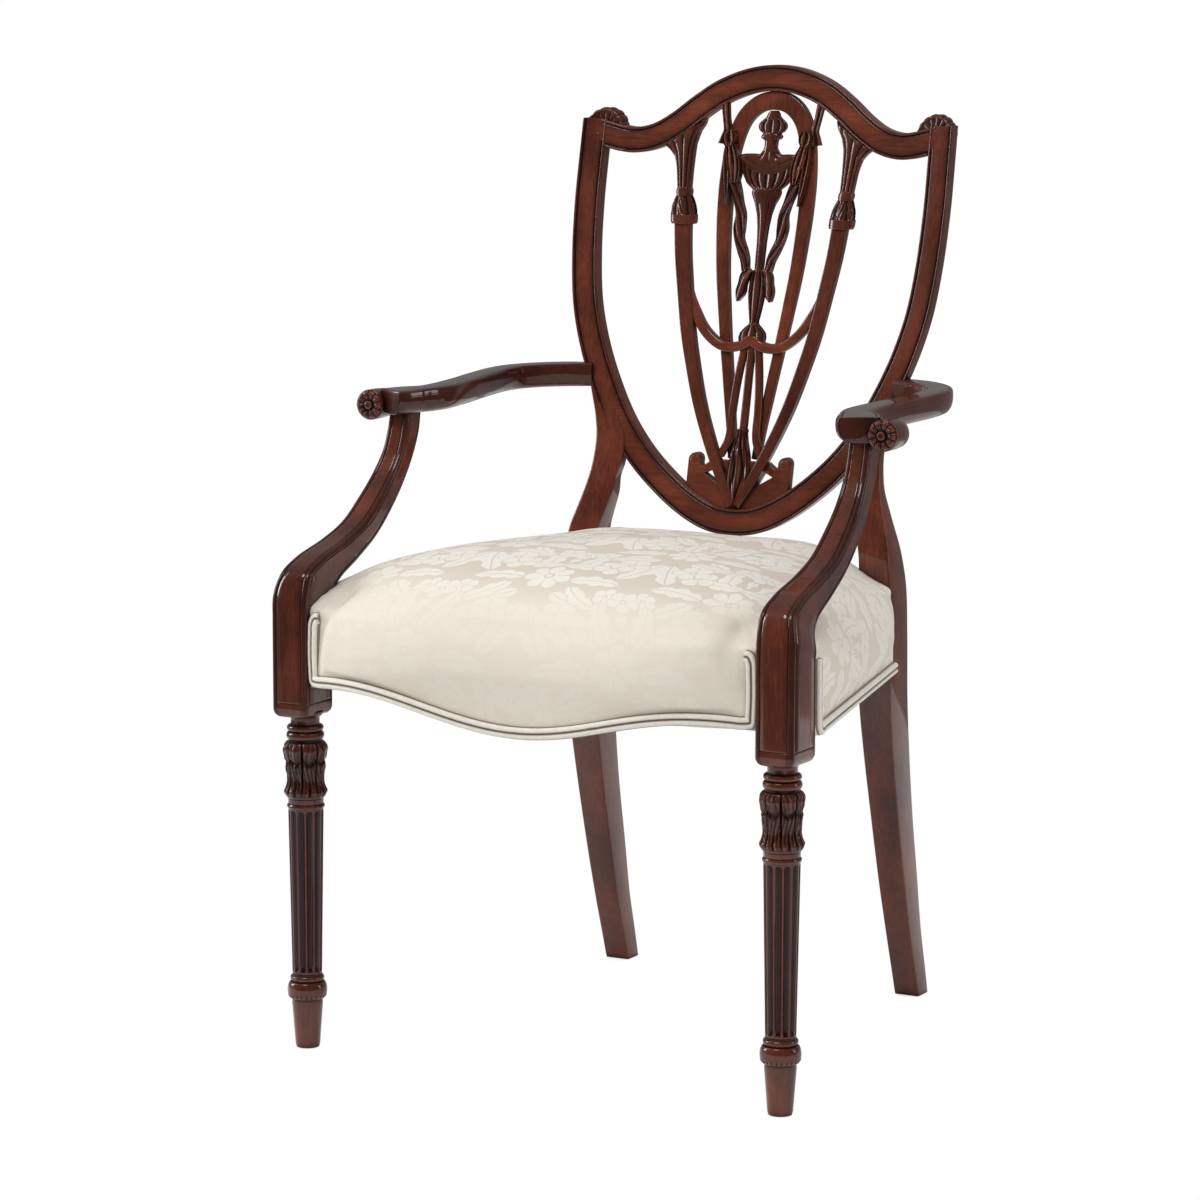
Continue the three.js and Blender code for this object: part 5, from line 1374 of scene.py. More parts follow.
    def _fold(self, stops: Sequence[Sequence[float]], pleats: float, front: float, skew: float = 0.0) -> Skin:
        """Pleated piece of cloth laid along a path of the elevation.

        Args:
            stops: Places across, heights and half widths along the path.
            pleats: Number of pleats over the width.
            front: Depth of its front before the face.
            skew: Turns that the pleats take along the path.

        Returns:
            The skin.
        """
        curve = Curve(stops, even=False)
        shares = np.linspace(0, 1, 60 + 12 * len(stops))
        half = curve.at(shares)[0][:, 2:3]
        flat = Curve([stop[:2] for stop in stops], even=False)
        angle = np.linspace(0, math.pi, 40)[None]
        pleat = 0.5 - 0.5 * np.cos(angle * 2 * pleats + 2 * math.pi * skew * shares[:, None])
        across = -half * np.cos(angle) * (1 - 0.06 * pleat)
        back = (4.6 - front) * (1 - np.sin(angle)) + 2.3 * pleat * np.sin(angle) ** 0.4 * np.minimum(half / 6, 1)
        rear = np.stack([across[:, -1], across[:, 0]], -1)
        outline = np.stack([
            np.concatenate([across, rear], 1),
            np.concatenate([back - front, np.full((len(shares), 2), 5.5)], 1),
        ], -1)
        tone = np.pad(np.clip(pleat * 1.5 - 0.75, 0, 0.8), ((0, 0), (0, 2)))
        return Skin().loft(FACE.strip(flat, shares, lambda _: outline), tone=tone)

    def drape_skin(self) -> Skin:
        """Cloth that hangs from the crest: flared end, knot, gathers and a twisted tail.

        Returns:
            The skin.
        """
        skin = Skin()
        for fold in self.drape_folds:
            skin.merge(self._fold(*fold))
        return self._tucked(skin)

    def swag_skin(self) -> Skin:
        """Double curved band across the ribs, with scrolled ends at the middle.

        Returns:
            The skin.
        """
        curve = symmetric(self.swag_shares, self.swag_half, self.swag_low, self.swag_rise)

        def outline(share: float) -> Array:
            """Section of the band at a place.

            Args:
                share: Share of the band's length.

            Returns:
                Points of the section.
            """
            middle = abs(2 * share - 1)
            width = 10.4 * (1.0 - 0.7 * ease(middle, 0.72, 1.0) + 0.18 * bump(middle, 0.04, 0.03))
            return soft_box(width, 8.4, min(2.4, width / 3), 0.8) + (0.0, 0.6)

        return bar(curve, np.linspace(0, 1, 260), outline)

    def stem_skin(self) -> Skin:
        """Outer stem below the swag."""
        path = [(x * 24.0, self.stem_top - z * self.stem_drop) for x, z in self.stem_shares]
        return self._stem(Curve([(1.5, 696.0), (6.0, 691.5)] + path))

    def _stem(self, curve: Curve) -> Skin:
        """Rounded stem along a curve."""
        section = soft_box(8.6, 5.5, 2.4, 0.8) + (0.0, 3.5)
        return bar(curve, np.linspace(0, 1, 110), lambda share: section)

    def shoe_skin(self) -> Skin:
        """Shoe at the foot of the splat, with scrolled ears and two pierced triangles.

        Returns:
            The skin.
        """
        outline, holes = self._shoe_outline()
        curve_data = bpy.data.curves.new("shoe_outline", "CURVE")
        curve_data.dimensions = "2D"
        curve_data.fill_mode = "BOTH"
        curve_data.extrude = self.shoe_half_depth * MM
        curve_data.bevel_depth = self.shoe_rounding * MM
        curve_data.offset = -self.shoe_rounding * MM
        curve_data.bevel_resolution = 3
        for points in [outline, *holes]:
            spline = curve_data.splines.new("POLY")
            spline.points.add(len(points) - 1)
            for spot, (x, z) in zip(spline.points, points):
                spot.co = (x * MM, z * MM, 0.0, 1.0)
            spline.use_cyclic_u = True
        holder = linked("shoe_outline", curve_data)
        bpy.context.view_layer.update()
        mesh = bpy.data.meshes.new_from_object(holder.evaluated_get(bpy.context.evaluated_depsgraph_get()))
        co = np.array([v.co[:] for v in mesh.vertices]) / MM
        faces = [list(p.vertices)[::-1] for p in mesh.polygons]
        bpy.data.objects.remove(holder)
        points = FACE.lay(co[:, 0], co[:, 1], 6.0 + self.shoe_half_depth - co[:, 2])
        return Skin([points], faces, len(points), [np.zeros(len(points))])

    def _shoe_outline(self) -> tuple[list, list]:
        """Outline and holes of the shoe in the elevation.

        Returns:
            The outline, and its holes.
        """
        right = [(60.5, 514.0), (60.5, 569.0)]
        right += [(53 + 7.5 * math.cos(a), 569 + 7.5 * math.sin(a)) for a in np.linspace(0.1, math.pi, 18)]
        right += [(45.6, 566.0), (45.0, 563.6), (43.0, 563.2), (38.0, 566.5), (33.0, 570.0)]
        outline = right + [(-x, z) for x, z in right[::-1]]
        hole = [(21.0, 544.5), (40.0, 555.5), (29.5, 560.5)]
        return outline, [hole, [(-x, z) for x, z in hole]]

    def scroll_eyes(self) -> Skin:
        """Raised round eyes of the shoe's scrolled ears.

        Returns:
            The skin.
        """
        skin = Skin()
        for side in (-1, 1):
            angle = np.linspace(0, 2 * math.pi, 28, endpoint=False)
            rings = []
            for radius, back in ((5.4, 6.2), (5.2, 5.2), (4.2, 4.7), (2.4, 4.5), (0.3, 4.4)):
                x, z = side * 53 + radius * np.cos(angle), 569 + radius * np.sin(angle)
                rings.append(FACE.lay(x, z, np.full(28, back)))
            skin.loft(np.stack(rings))
        return skin

    def build(self, finishes: Finishes) -> None:
        """Makes the splat's pieces.

        Args:
            finishes: The chair's finishes.
        """
        dress_skin(self.arch_skin(), "splat_arch", "mahogany", finishes.upright)
        dress_pair(self.rib_skin(), "splat_rib", "carved_mahogany", finishes.carved, 50)
        urn = self.urn.skin(self._urn_cut, self._urn_sag)
        dress_skin(urn, "splat_urn", "carved_mahogany", finishes.carved, 60)
        dress_skin(self.husk_skin(), "splat_husk", "carved_mahogany", finishes.carved, 60)
        dress_pair(self.drape_skin(), "splat_drape", "carved_mahogany", finishes.carved, 60)
        dress_skin(self.swag_skin(), "splat_swag", "mahogany", finishes.across)
        dress_pair(self.stem_skin(), "splat_stem", "mahogany", finishes.upright)
        middle = self._stem(Curve([(0, 697), (0, 650), (0, 600)]))
        dress_skin(middle, "splat_stem_middle", "mahogany", finishes.upright)
        dress_skin(self.bud.skin(self._bud_cut), "splat_bud", "carved_mahogany", finishes.carved, 60)
        dress_skin(self.shoe_skin().merge(self.scroll_eyes()), "splat_shoe", "mahogany", finishes.across)


def panel_box(width: float, depth: float, radius: float, inset: float, cut: float) -> Array:
    """Outline of a squared post with rounded corners and an incised line beside each of them.

    Args:
        width: Across the front.
        depth: From front to back.
        radius: Radius of the corners.
        inset: Distance of the lines from the corners.
        cut: Depth of the lines.

    Returns:
        The outline, from the left end of the front round to the left side.
    """
    corner = [(radius * (1 - math.cos(a)), radius * (1 - math.sin(a))) for a in np.linspace(0.25, 0.5, 4) * math.pi]
    line = [(inset - 0.8, 0.0), (inset, cut), (inset + 0.8, 0.0)]
    points = []
    for length, start, heading in (
        (width, (-width / 2, 0.0), (1.0, 0.0)),
        (depth, (width / 2, 0.0), (0.0, 1.0)),
        (width, (width / 2, depth), (-1.0, 0.0)),
        (depth, (-width / 2, depth), (0.0, -1.0)),
    ):
        middle = [(length * share, 0.0) for share in (0.3, 0.5, 0.7)]
        ending = [(length - along, down) for along, down in (corner[1:] + line)[::-1]]
        inward = (-heading[1], heading[0])
        for along, down in corner + line + middle + ending:
            x = start[0] + heading[0] * along + inward[0] * down
            points.append((x, start[1] + heading[1] * along + inward[1] * down))
    return np.array(points)


@dataclass
class FrontPost:
    """Turned and fluted front leg with its block and swept arm support, in one piece."""

    x: float = 271.0
    y: float = -239.2613
    axis_x: float = 268.4
    block_half_width: float = 20.3
    block_half_depth: float = 26.2
    block_top: float = 440.0
    support_top: float = 631.0
    sweep: float = 200.0
    width_shares: tuple = (1, 1, 0.9, 0.86, 0.8, 0.75, 0.72, 0.67, 0.61, 0.59, 0.58)
    shares: tuple = (
        (0, 0, 0, 0), (0.136, 0.008, 0.052, 0.005), (0.251, 0.05, 0.126, 0.028), (0.322, 0.176, 0.19, 0.08),
        (0.39, 0.4, 0.275, 0.252), (0.466, 0.585, 0.372, 0.425), (0.571, 0.725, 0.483, 0.56),
        (0.694, 0.855, 0.634, 0.702), (0.817, 0.942, 0.78, 0.802), (0.939, 0.987, 0.906, 0.86), (1, 1, 1, 0.878),
    )
    beads: tuple = (
        (50.6, 68.4, 16.4, 20.2), (69.0, 74.8, 15.0, 17.3), (247.5, 252.0, 17.6, 19.2), (318.0, 326.4, 16.4, 19.2),
        (326.8, 333.2, 15.8, 18.6),
    )
    joints: tuple = ((68.2, 69.2), (74.6, 77.4), (316, 318.2), (326.2, 327.0), (333, 335.4), (251.8, 252.8))
    foot_top: float = 50.0
    collar_top: float = 77.0
    cup_low: float = 258.0
    cup_top: float = 316.0
    cup_radius: float = 22.0
    cup_shares: tuple = (
        (0, 0.84), (0.03, 0.9), (0.11, 0.98), (0.2, 0.92), (0.3, 0.87), (0.5, 0.9), (0.78, 0.98), (0.92, 0.96),
        (1, 0.86),
    )

    def _torus(self, z: Array, low: float, high: float, base: float, radius: float) -> Array:
        """Radius of a half-round moulding between two levels, 0 elsewhere.

        Args:
            z: Levels to read at.
            low: Lower end.
            high: Upper end.
            base: Radius at the ends.
            radius: Radius in the middle.

        Returns:
            Radius at each level.
        """
        place = np.clip((z - low) / (high - low) * 2 - 1, -1, 1)
        inside = (z >= low) & (z <= high)
        return np.where(inside, base + (radius - base) * np.sqrt(1 - place**2), 0.0)

    def turned_leg(self) -> Skin:
        """The turned part, with its beads, flutes and carved cup.

        Returns:
            The skin.
        """
        z = np.concatenate([
            np.linspace(0, 50, 16), np.arange(50.5, 80, 0.5), np.arange(80, 244, 3.0), np.arange(244, 258, 0.7),
            np.arange(258, 347, 0.6),
        ])
        shaft = lerp((z - self.collar_top) / (self.cup_low - self.collar_top), 15.0, 18.1)
        radius = np.where(z < self.foot_top, lerp(z / self.foot_top, 12.3, 16.1), shaft)
        radius = np.where(z < 1.2, radius - (1.2 - z) * 0.6, radius)
        radius = np.where((z >= self.foot_top) & (z < self.collar_top), 15.3, radius)
        radius = np.where(z >= self.cup_top, 15.4, radius)
        for low, high, base, wide in self.beads:
            radius = np.maximum(radius, self._torus(z, low, high, base, wide))
        cup = Curve(self.cup_shares, even=False).table
        level = lerp(cup[:, 0], self.cup_low, self.cup_top)
        inside = (z > self.cup_low) & (z < self.cup_top)
        radius = np.where(inside, np.interp(z, level, cup[:, 1] * self.cup_radius), radius)
        radius = np.where((z >= self.cup_top) & (z < 318), 16.4, radius)
        neck = 14.7 + 4.6 * ease(z, 337, 346) ** 2
        radius = np.where(z > 333.2, neck, radius)
        theta = np.linspace(0, 2 * math.pi, 145)[:-1]
        zz, th = np.meshgrid(z, theta, indexing="ij")
        r = np.broadcast_to(radius[:, None], zz.shape).copy()
        opening, closing = np.clip((zz - 78.5) / 6.5, 0, 1), np.clip((246 - zz) / 7.0, 0, 1)
        run = np.sqrt(opening * (2 - opening)) * np.sqrt(closing * (2 - closing))
        groove = np.abs(np.sin(th * 6.0))
        hollow = np.where(groove > 0.38, np.sqrt(np.clip(1 - ((1 - groove) / 0.62) ** 1.3, 0, 1)), 0.0)
        r -= 2.7 * run * hollow
        tone = run * hollow * 0.95
        pearls = bump(zz, 53.6, 1.9)
        r += 1.5 * pearls * (np.abs(np.sin(th * 12.0)) ** 0.55 - 0.75)
        t = (zz - 260) / 56.0
        leafy = ((t > 0) & (t < 1)).astype(float)
        lobes = np.abs(np.cos(th * 4.0))
        veins = 0.8 * np.abs(np.sin(th * 16.0 + 1.6 * np.sin(t * 7.0)))
        low_leaf = 2.2 * np.exp(-((np.sin(th * 4.0) / 0.2) ** 2)) * ease(t, 0.0, 0.06) * (1 - ease(t, 0.36, 0.52))
        rib = 1.5 * np.exp(-((np.sin(th * 4.0) / 0.16) ** 2)) * np.sin(np.clip(t, 0, 1) * math.pi) ** 0.5
        gap = 2.6 * np.exp(-((lobes / 0.17) ** 2)) * ease(t, 0.08, 0.3)
        curl = 1.1 * bump(t, 0.86, 0.07) * lobes**0.5
        under = -2.0 * bump(t, 0.70 - 0.08 * lobes, 0.045)
        back_leaf = 1.4 * bump(t, 0.95, 0.06) * (1 - lobes)
        skirt = 1.5 * bump(t, 0.1, 0.07) * (np.abs(np.sin(th * 8.0)) - 0.4)
        carved = rib - gap + curl + under + back_leaf + skirt - low_leaf - veins * bump(t, 0.45, 0.4)
        r += leafy * carved
        tone = tone + leafy * np.clip(0.3 - carved * 0.45 + 0.5 * (veins > 0.62), 0, 0.95)
        tone = tone + 0.8 * pearls * (np.abs(np.sin(th * 12.0)) < 0.35)
        for low, high in self.joints:
            tone = tone + 0.85 * ((zz > low) & (zz < high))
        x = self.axis_x + r * np.cos(th)
        y = self.y + r * np.sin(th)
        return Skin().loft(np.stack([x, y, zz], -1), tone=np.clip(tone, 0, 1))

    def _station(self, front: Array, back: Array, width: float, cut: float) -> Array:
        """One ring of the block or the support.

        Args:
            front: Depth and height of its front.
            back: Depth and height of its back.
            width: Width across.
            cut: Depth of the lines.

        Returns:
            Points of the ring.
        """
        run = back - front
        length = float(np.linalg.norm(run))
        run = run / length
        outline = panel_box(width, length, 4.0, 5.8, cut)
        inner = self.x - self.block_half_width
        x = inner + width / 2 + outline[:, 0]
        y = front[0] + run[0] * outline[:, 1]
        z = front[1] + run[1] * outline[:, 1]
        return np.stack([x, y, z], -1)

    def block(self) -> Skin:
        """The block and the swept support above it.

        Returns:
            The skin.
        """
        rings = []
        front_y, back_y = self.y - self.block_half_depth, self.y + self.block_half_depth
        levels = np.concatenate([np.linspace(342, 351, 9), [353, 355.6, 356.4, 357.2, 358, 358.8, 361, 380, 410]])
        for z in levels:
            share = np.clip((351 - z) / 9, 0, 1)
            pull = 7.0 * (1 - math.sqrt(max(0.0, 1 - share**2)))
            ring = self._station(
                np.array([front_y + pull, z]), np.array([back_y - pull, z]),
                2 * self.block_half_width - 2 * pull, 0.9 * float(ease(z, 356.0, 357.0)),
            )
            ring[:, 0] += pull
            if abs(z - 357.2) < 0.1:
                middle = (np.abs(ring[:, 0] - self.x) < 14.7) & (np.abs(ring[:, 1] - self.y) > 20)
                sides = (np.abs(ring[:, 1] - self.y) < 20.6) & (np.abs(ring[:, 0] - self.x) > 15)
                ring[middle, 1] -= np.sign(ring[middle, 1] - self.y) * 0.9
                ring[sides, 0] -= np.sign(ring[sides, 0] - self.x) * 0.9
            rings.append(ring)
        rows = []
        rise = self.support_top - self.block_top
        for (front_up, front_back, back_up, back_back), width in zip(self.shares, self.width_shares):
            rows.append((
                front_y + front_back * self.sweep, self.block_top + front_up * rise,
                back_y + back_back * self.sweep, self.block_top + back_up * rise, width * 2 * self.block_half_width,
            ))
        for row in Curve(rows, even=False).at(np.linspace(0, 1, 170))[0]:
            rings.append(self._station(row[:2], row[2:4], row[4], 0.9))
        top = rings[-1].copy()
        top[:, 2] += 3.0
        # Glaze in the incised lines; the 0.5 on the rounded corners is a painted dark reflection.
        edge = [0.5] * 4 + [0.4, 1.0, 0.15] + [0.0] * 3 + [0.15, 1.0, 0.4] + [0.5] * 3
        return Skin().loft(np.stack([*rings, top]), tone=np.tile(edge, 4)[None])

    def build(self, finishes: Finishes) -> None:
        """Makes both posts."""
        dress_pair(self.turned_leg().merge(self.block()), "front_post", "mahogany", finishes.post, 50)


@dataclass
class Arm:
    """Swept arm with its scrolled front end and the carved rosette on it."""

    thickness: float = 25.2
    top_rear: float = 665.6
    top_front: float = 656.6
    reach_x: float = 80.0
    start_x: float = 182.0
    front_y: float = -73.7613
    width: float = 29.0
    roll_x: float = 292.0
    roll_z: float = 640.2
    roll_front: float = -74.3613
    roll_profile: tuple = (
        (0.0, 13.4), (0.0, 14.5), (0.4, 15.3), (1.2, 15.8), (5.0, 15.8), (5.6, 15.3), (6.2, 15.8), (20.0, 15.6),
        (31.0, 14.8), (35.0, 12.6),
    )
    rosette_profile: tuple = (
        (14.5, 0.0), (14.6, 0.8), (14.2, 1.7), (13.4, 2.3), (12.2, 2.8), (10.6, 2.9), (8.8, 2.5), (7.2, 1.9),
        (6.0, 1.4), (5.2, 1.2), (4.7, 1.9), (4.3, 2.8), (3.6, 3.4), (2.6, 3.7), (1.4, 3.75), (0.2, 3.8),
    )
    section: tuple = (
        (0.0, -0.02), (0.2, -0.015), (0.33, -0.005), (0.355, 0.0), (0.375, 0.04), (0.395, 0.002), (0.43, 0.0),
        (0.46, 0.012), (0.485, 0.045), (0.5, 0.1), (0.507, 0.2), (0.51, 0.32), (0.505, 0.45), (0.49, 0.58),
        (0.455, 0.72), (0.4, 0.84), (0.32, 0.94), (0.22, 0.99), (0.1, 1.0), (0.0, 1.0),
    )
    shares: tuple = (
        (0, 0, 0.75), (0.35, 0.04, 1.1), (0.66, 0.11, 1.1), (0.84, 0.19, 1.02), (0.89, 0.29, 0.98), (0.84, 0.47, 1),
        (0.77, 0.62, 1.04), (0.74, 0.78, 1.14), (0.79, 0.855, 1.14), (0.91, 0.91, 1.44), (0.985, 0.95, 1.56),
        (1.04, 0.99, 1.52), (1.06, 1, 1.3),
    )

    def _outline(self) -> Array:
        """Section of the arm: flat top with an incised line, rounded sides and underside."""
        left = [(-x, z) for x, z in self.section[-2:0:-1]]
        return np.array([*self.section, *left])

    def blank(self) -> Skin:
        """The swept arm.

        Returns:
            The skin.
        """
        start_y = float(FACE.y(self.start_x, self.top_rear - self.thickness / 2)) + 7.0
        rows = []
        for across, forward, width in self.shares:
            y = lerp(forward, start_y, self.front_y)
            z = lerp(forward, self.top_rear, self.top_front)
            rows.append((self.start_x + across * self.reach_x, y, z, width * self.width))
        point, heading = Curve(rows, even=False).by_place(np.linspace(0, len(rows) - 1, 260))
        heading = heading[:, :2] / np.linalg.norm(heading[:, :2], axis=1)[:, None]
        outline = self._outline()
        rings = []
        for (x, y, z, width), (hx, hy) in zip(point, heading):
            across = outline[:, 0] * width
            rings.append(np.stack([x - hy * across, y + hx * across, z - outline[:, 1] * self.thickness], -1))
        last = rings[-1]
        middle = last.mean(0)
        for share, ahead in ((0.985, 0.35), (0.94, 0.6)):
            ring = middle + (last - middle) * share
            ring[:, 1] -= ahead
            rings.append(ring)
        return Skin().loft(np.stack(rings))

    def roll(self) -> Skin:
        """The scroll under the arm's front end.

        Returns:
            The skin.
        """
        angle = np.linspace(0, 2 * math.pi, 73)[:-1]
        rings = []
        for back, radius in self.roll_profile:
            x = self.roll_x + radius * np.cos(angle)
            z = self.roll_z + radius * np.sin(angle)
            rings.append(np.stack([x, np.full(72, self.roll_front + back), z], -1))
        return Skin().loft(np.stack(rings))

    def rosette(self) -> Skin:
        """Carved flower with ten petals and a button.

        Returns:
            The skin.
        """
        tone = []
        angle = np.linspace(0, 2 * math.pi, 193)[:-1]
        rings = []
        petal = np.abs(np.cos(angle * 5))
        for radius, forward in self.rosette_profile:
            outer = ease(radius, 5.0, 6.5)
            scallop = 1 - 0.075 * (1 - petal**0.6) * ease(radius, 8.0, 14.0)
            sunk = outer * 1.7 * np.exp(-((petal / 0.22) ** 2))
            vein = outer * 0.7 * np.exp(-((np.sin(angle * 5) / 0.2) ** 2)) * bump(radius, 9.5, 3.2)
            x = self.roll_x + radius * scallop * np.cos(angle)
            z = self.roll_z + radius * scallop * np.sin(angle)
            y = self.roll_front - 0.2 - np.maximum(forward - sunk + vein, 0.0)
            rings.append(np.stack([x, y, z], -1))
            tone.append(np.clip(0.35 + 0.5 * sunk + 0.9 * bump(radius, 5.2, 1.0) - vein, 0, 1))
        return Skin().loft(np.stack(rings), tone=np.stack(tone))

    def build(self, finishes: Finishes) -> None:
        """Makes both arms and rosettes."""
        dress_pair(self.blank().merge(self.roll()), "arm", "mahogany", finishes.along, 40)
        dress_pair(self.rosette(), "rosette", "carved_mahogany", finishes.carved, 60)


@dataclass
class Seat:
    """Sprung seat over the rails, covered in damask, with double piping along its lower edge."""

    front_y: float = -281.7613
    side_front: tuple = (281.7, -182.4613)
    side_rear: tuple = (199.0, 158.5387)
    back_y: float = 202.7387
    front_half: float = 247.0
    front_end: float = 250.4
    block_back: float = -213.0613
    post_y: float = -239.2613
    low: float = 349.4
    rise: float = 29.6
    side_low: float = 365.0
    crown: float = 514.0
    bulge: float = 12.5
    skirt_shares: tuple = ((0.22, 0.75), (0.32, 1.0), (0.43, 0.9), (0.52, 0.55), (0.605, -0.02))
    crown_shares: tuple = (
        (0.68, 0.03, 0.07), (0.76, 0.085, 0.1), (0.84, 0.17, 0.1), (0.905, 0.29, 0.08), (0.95, 0.44, 0.05),
        (0.98, 0.63, 0.02), (1.0, 0.83, 0.0),
    )
    welt: float = 5.6
    welt_end: float = 243.8
    welt_top: float = 440.0

    def front_edge(self, x: Array) -> tuple[Array, Array]:
        """Depth and height of the serpentine lower edge at the front.

        Args:
            x: Places across.

        Returns:
            Depths and heights.
        """
        share = np.minimum(1, np.abs(x) / self.front_half)
        y = self.front_y - 3 * np.sin(math.pi * share) ** 2 + 26 * share**6
        z = np.where(
            share < 0.8,
            self.low + self.rise * (1 - np.cos(math.pi * share / 0.8)) / 2,
            self.low + self.rise * (1 - 0.14 * ((share - 0.8) / 0.2) ** 2),
        )
        return y, z

    def side_x(self, y: Array) -> Array:
        """Place across of the side's lower edge."""
        share = (y - self.side_front[1]) / (self.side_rear[1] - self.side_front[1])
        return lerp(share, self.side_front[0], self.side_rear[0])

    def _side_out(self) -> tuple[float, float]:
        """Outward direction of the side's lower edge.

        Returns:
            Its x and y.
        """
        run = np.subtract(self.side_rear, self.side_front)
        run = run / np.linalg.norm(run)
        return run[1], -run[0]

    def _half_plan(self) -> Array:
        """Right half of the lower edge: x, y, z, outward x and y, swell, turn-in, and the panel's contrast of the
        figure, which is painted satin sheen.

        Returns:
            One row per point.
        """
        rows = []
        for x in np.linspace(0, self.front_end, 130):
            y, z = self.front_edge(x)
            slope = (self.front_edge(x + 0.5)[0] - self.front_edge(x - 0.5)[0])
            out = np.array([slope, -1.0]) / math.hypot(slope, 1)
            fade = 1 - abs(min(1, x / 236.0)) ** 6
            rows.append((x, y, z, *out, fade, 52.0, 0.10))
        corner = [(271.0, self.post_y - 13.1), (281.15, self.post_y)]
        for place, (x, y) in zip((0.35, 0.75), corner):
            out = np.array([place, -(1 - place)])
            out = out / np.linalg.norm(out)
            rows.append((x, y, self.side_low, *out, 0.0, 0.0, 0.3))
        span = (self.block_back, 158.8387)
        for share in np.linspace(0, 1, 130):
            y = lerp(share, *span)
            ground = 16.24 / (span[1] - span[0])
            fade = 1 - abs(2 * max(0.0, share - ground) / (1 - ground) - 1) ** 6
            rows.append((float(self.side_x(y)), y, self.side_low, *self._side_out(), fade, 10.0, 0.55))
        rows.append((183.75, 181.3387, self.side_low, 0.7, 0.7, 0.0, 0.0, 0.6))
        for x in np.linspace(157.9, 0, 40):
            rows.append((x, self.back_y, self.side_low, 0.0, 1.0, 0.0, 10.0, 0.55))
        return np.array(rows, float)

    def _plan(self) -> Array:
        """Whole lower edge, anticlockwise from the middle of the front.

        Returns:
            One row per point.
        """
        half = self._half_plan()
        other = half[1:-1][::-1].copy()
        other[:, [0, 3]] *= -1
        return np.concatenate([half, other])

    def cushion(self) -> tuple[Skin, Array]:
        """The covered seat and its cloth coordinates.

        Returns:
            The skin, and for each point the place on the cloth and the contrast of the figure, a painted satin
            sheen.
        """
        plan = self._plan()
        at, out, swell, turn, tone = plan[:, :3], plan[:, 3:5], plan[:, 5], plan[:, 6], plan[:, 7]
        height = self.crown - self.side_low
        centre = (self.front_y + self.back_y) / 2
        rings = []

        def shifted(distance: Array, z: Array | float) -> Array:
            """Lower edge moved outward, at a height."""
            xy = at[:, :2] + out * np.asarray(distance)[..., None]
            return np.concatenate([xy, np.broadcast_to(np.asarray(z, float), (len(at),))[:, None]], 1)

        rings.append(shifted(0 * turn, at[:, 2]))
        rings.append(shifted(0 * turn, at[:, 2] + 12.88))
        for up, reach in self.skirt_shares:
            rings.append(shifted(self.bulge * reach * swell, self.side_low + up * height))
        for up, draw, corner_draw in self.crown_shares:
            corner = np.abs(at[:, 0] / self.front_end * (at[:, 1] - centre) / (centre - self.front_y)) ** 3
            scale = 1 - draw - corner_draw * np.minimum(1, corner)
            x, y = at[:, 0] * scale, centre + (at[:, 1] - centre) * scale
            rings.append(np.stack([x, y, np.full(len(x), self.side_low + up * height)], -1))
        middle = rings[-1].copy()
        middle[:, 0] *= 0.5
        middle[:, 1] = centre + (middle[:, 1] - centre) * 0.5
        middle[:, 2] += 1.6
        rings.append(middle)
        stack = np.stack(rings)
        n, m = stack.shape[:2]
        curve = Curve(stack.reshape(n, -1), even=True, density=8)
        place = np.concatenate([np.linspace(0, n - 2, 118), np.linspace(n - 2, n - 1, 5)[1:]])
        body = curve.by_place(place)[0].reshape(len(place), m, 3)
        cloth = self._cloth(body, out, tone)
        body = self._pulled(body, out)
        under = []
        for share in (0.02, 0.1, 0.5, 1.0):
            ring = body[0].copy()
            ring[:, :2] -= out * (turn * share)[:, None]
            ring[:, 2] = lerp(share, ring[:, 2], np.minimum(ring[:, 2], 366.9))
            under.append(ring)
        under = np.stack(under[::-1])
        rings = np.concatenate([under, body])
        cloth = np.concatenate([np.repeat(cloth[:1], 4, axis=0), cloth])
        tip = rings[-1].mean(0)
        last = tip + (rings[-1] - tip) * 0.02
        rings = np.concatenate([rings, last[None]])
        cloth = np.concatenate([cloth, cloth[-1:]])
        cloth[-1, :, :2] = last[:, :2] * MM
        skin = Skin().loft(rings, caps=False)
        skin.faces.append(list(range(skin.count - m, skin.count)))
        return skin, cloth.reshape(-1, 3)

    def _cloth(self, body: Array, out: Array, tone: Array) -> Array:
        """Place on the cloth, in metres, and contrast of the figure, a painted satin sheen, for each point.

        Args:
            body: Points of the cover by ring and place.
            out: Outward direction at each place.
            tone: Contrast of the figure at each place, as painted sheen.

        Returns:
            Place and contrast at each point.
        """
        steps = np.linalg.norm(np.diff(body, axis=0), axis=2)
        travel = np.concatenate([np.zeros((1, body.shape[1])), np.cumsum(steps, axis=0)])
        edge = int(len(body) * 0.66)
        anchor = body[edge, :, :2]
        down = np.maximum(travel[edge][None] - travel, 0.0)
        uv = np.where(down[..., None] > 0, anchor[None] + out[None] * down[..., None], body[..., :2])
        # Painted satin sheen: the figure's contrast rises to full on the top of the cover.
        sheen_contrast = tone[None] + (1.0 - tone[None]) * ease(body[..., 2], 470.0, 506.0)
        return np.concatenate([uv * MM, sheen_contrast[..., None]], -1)

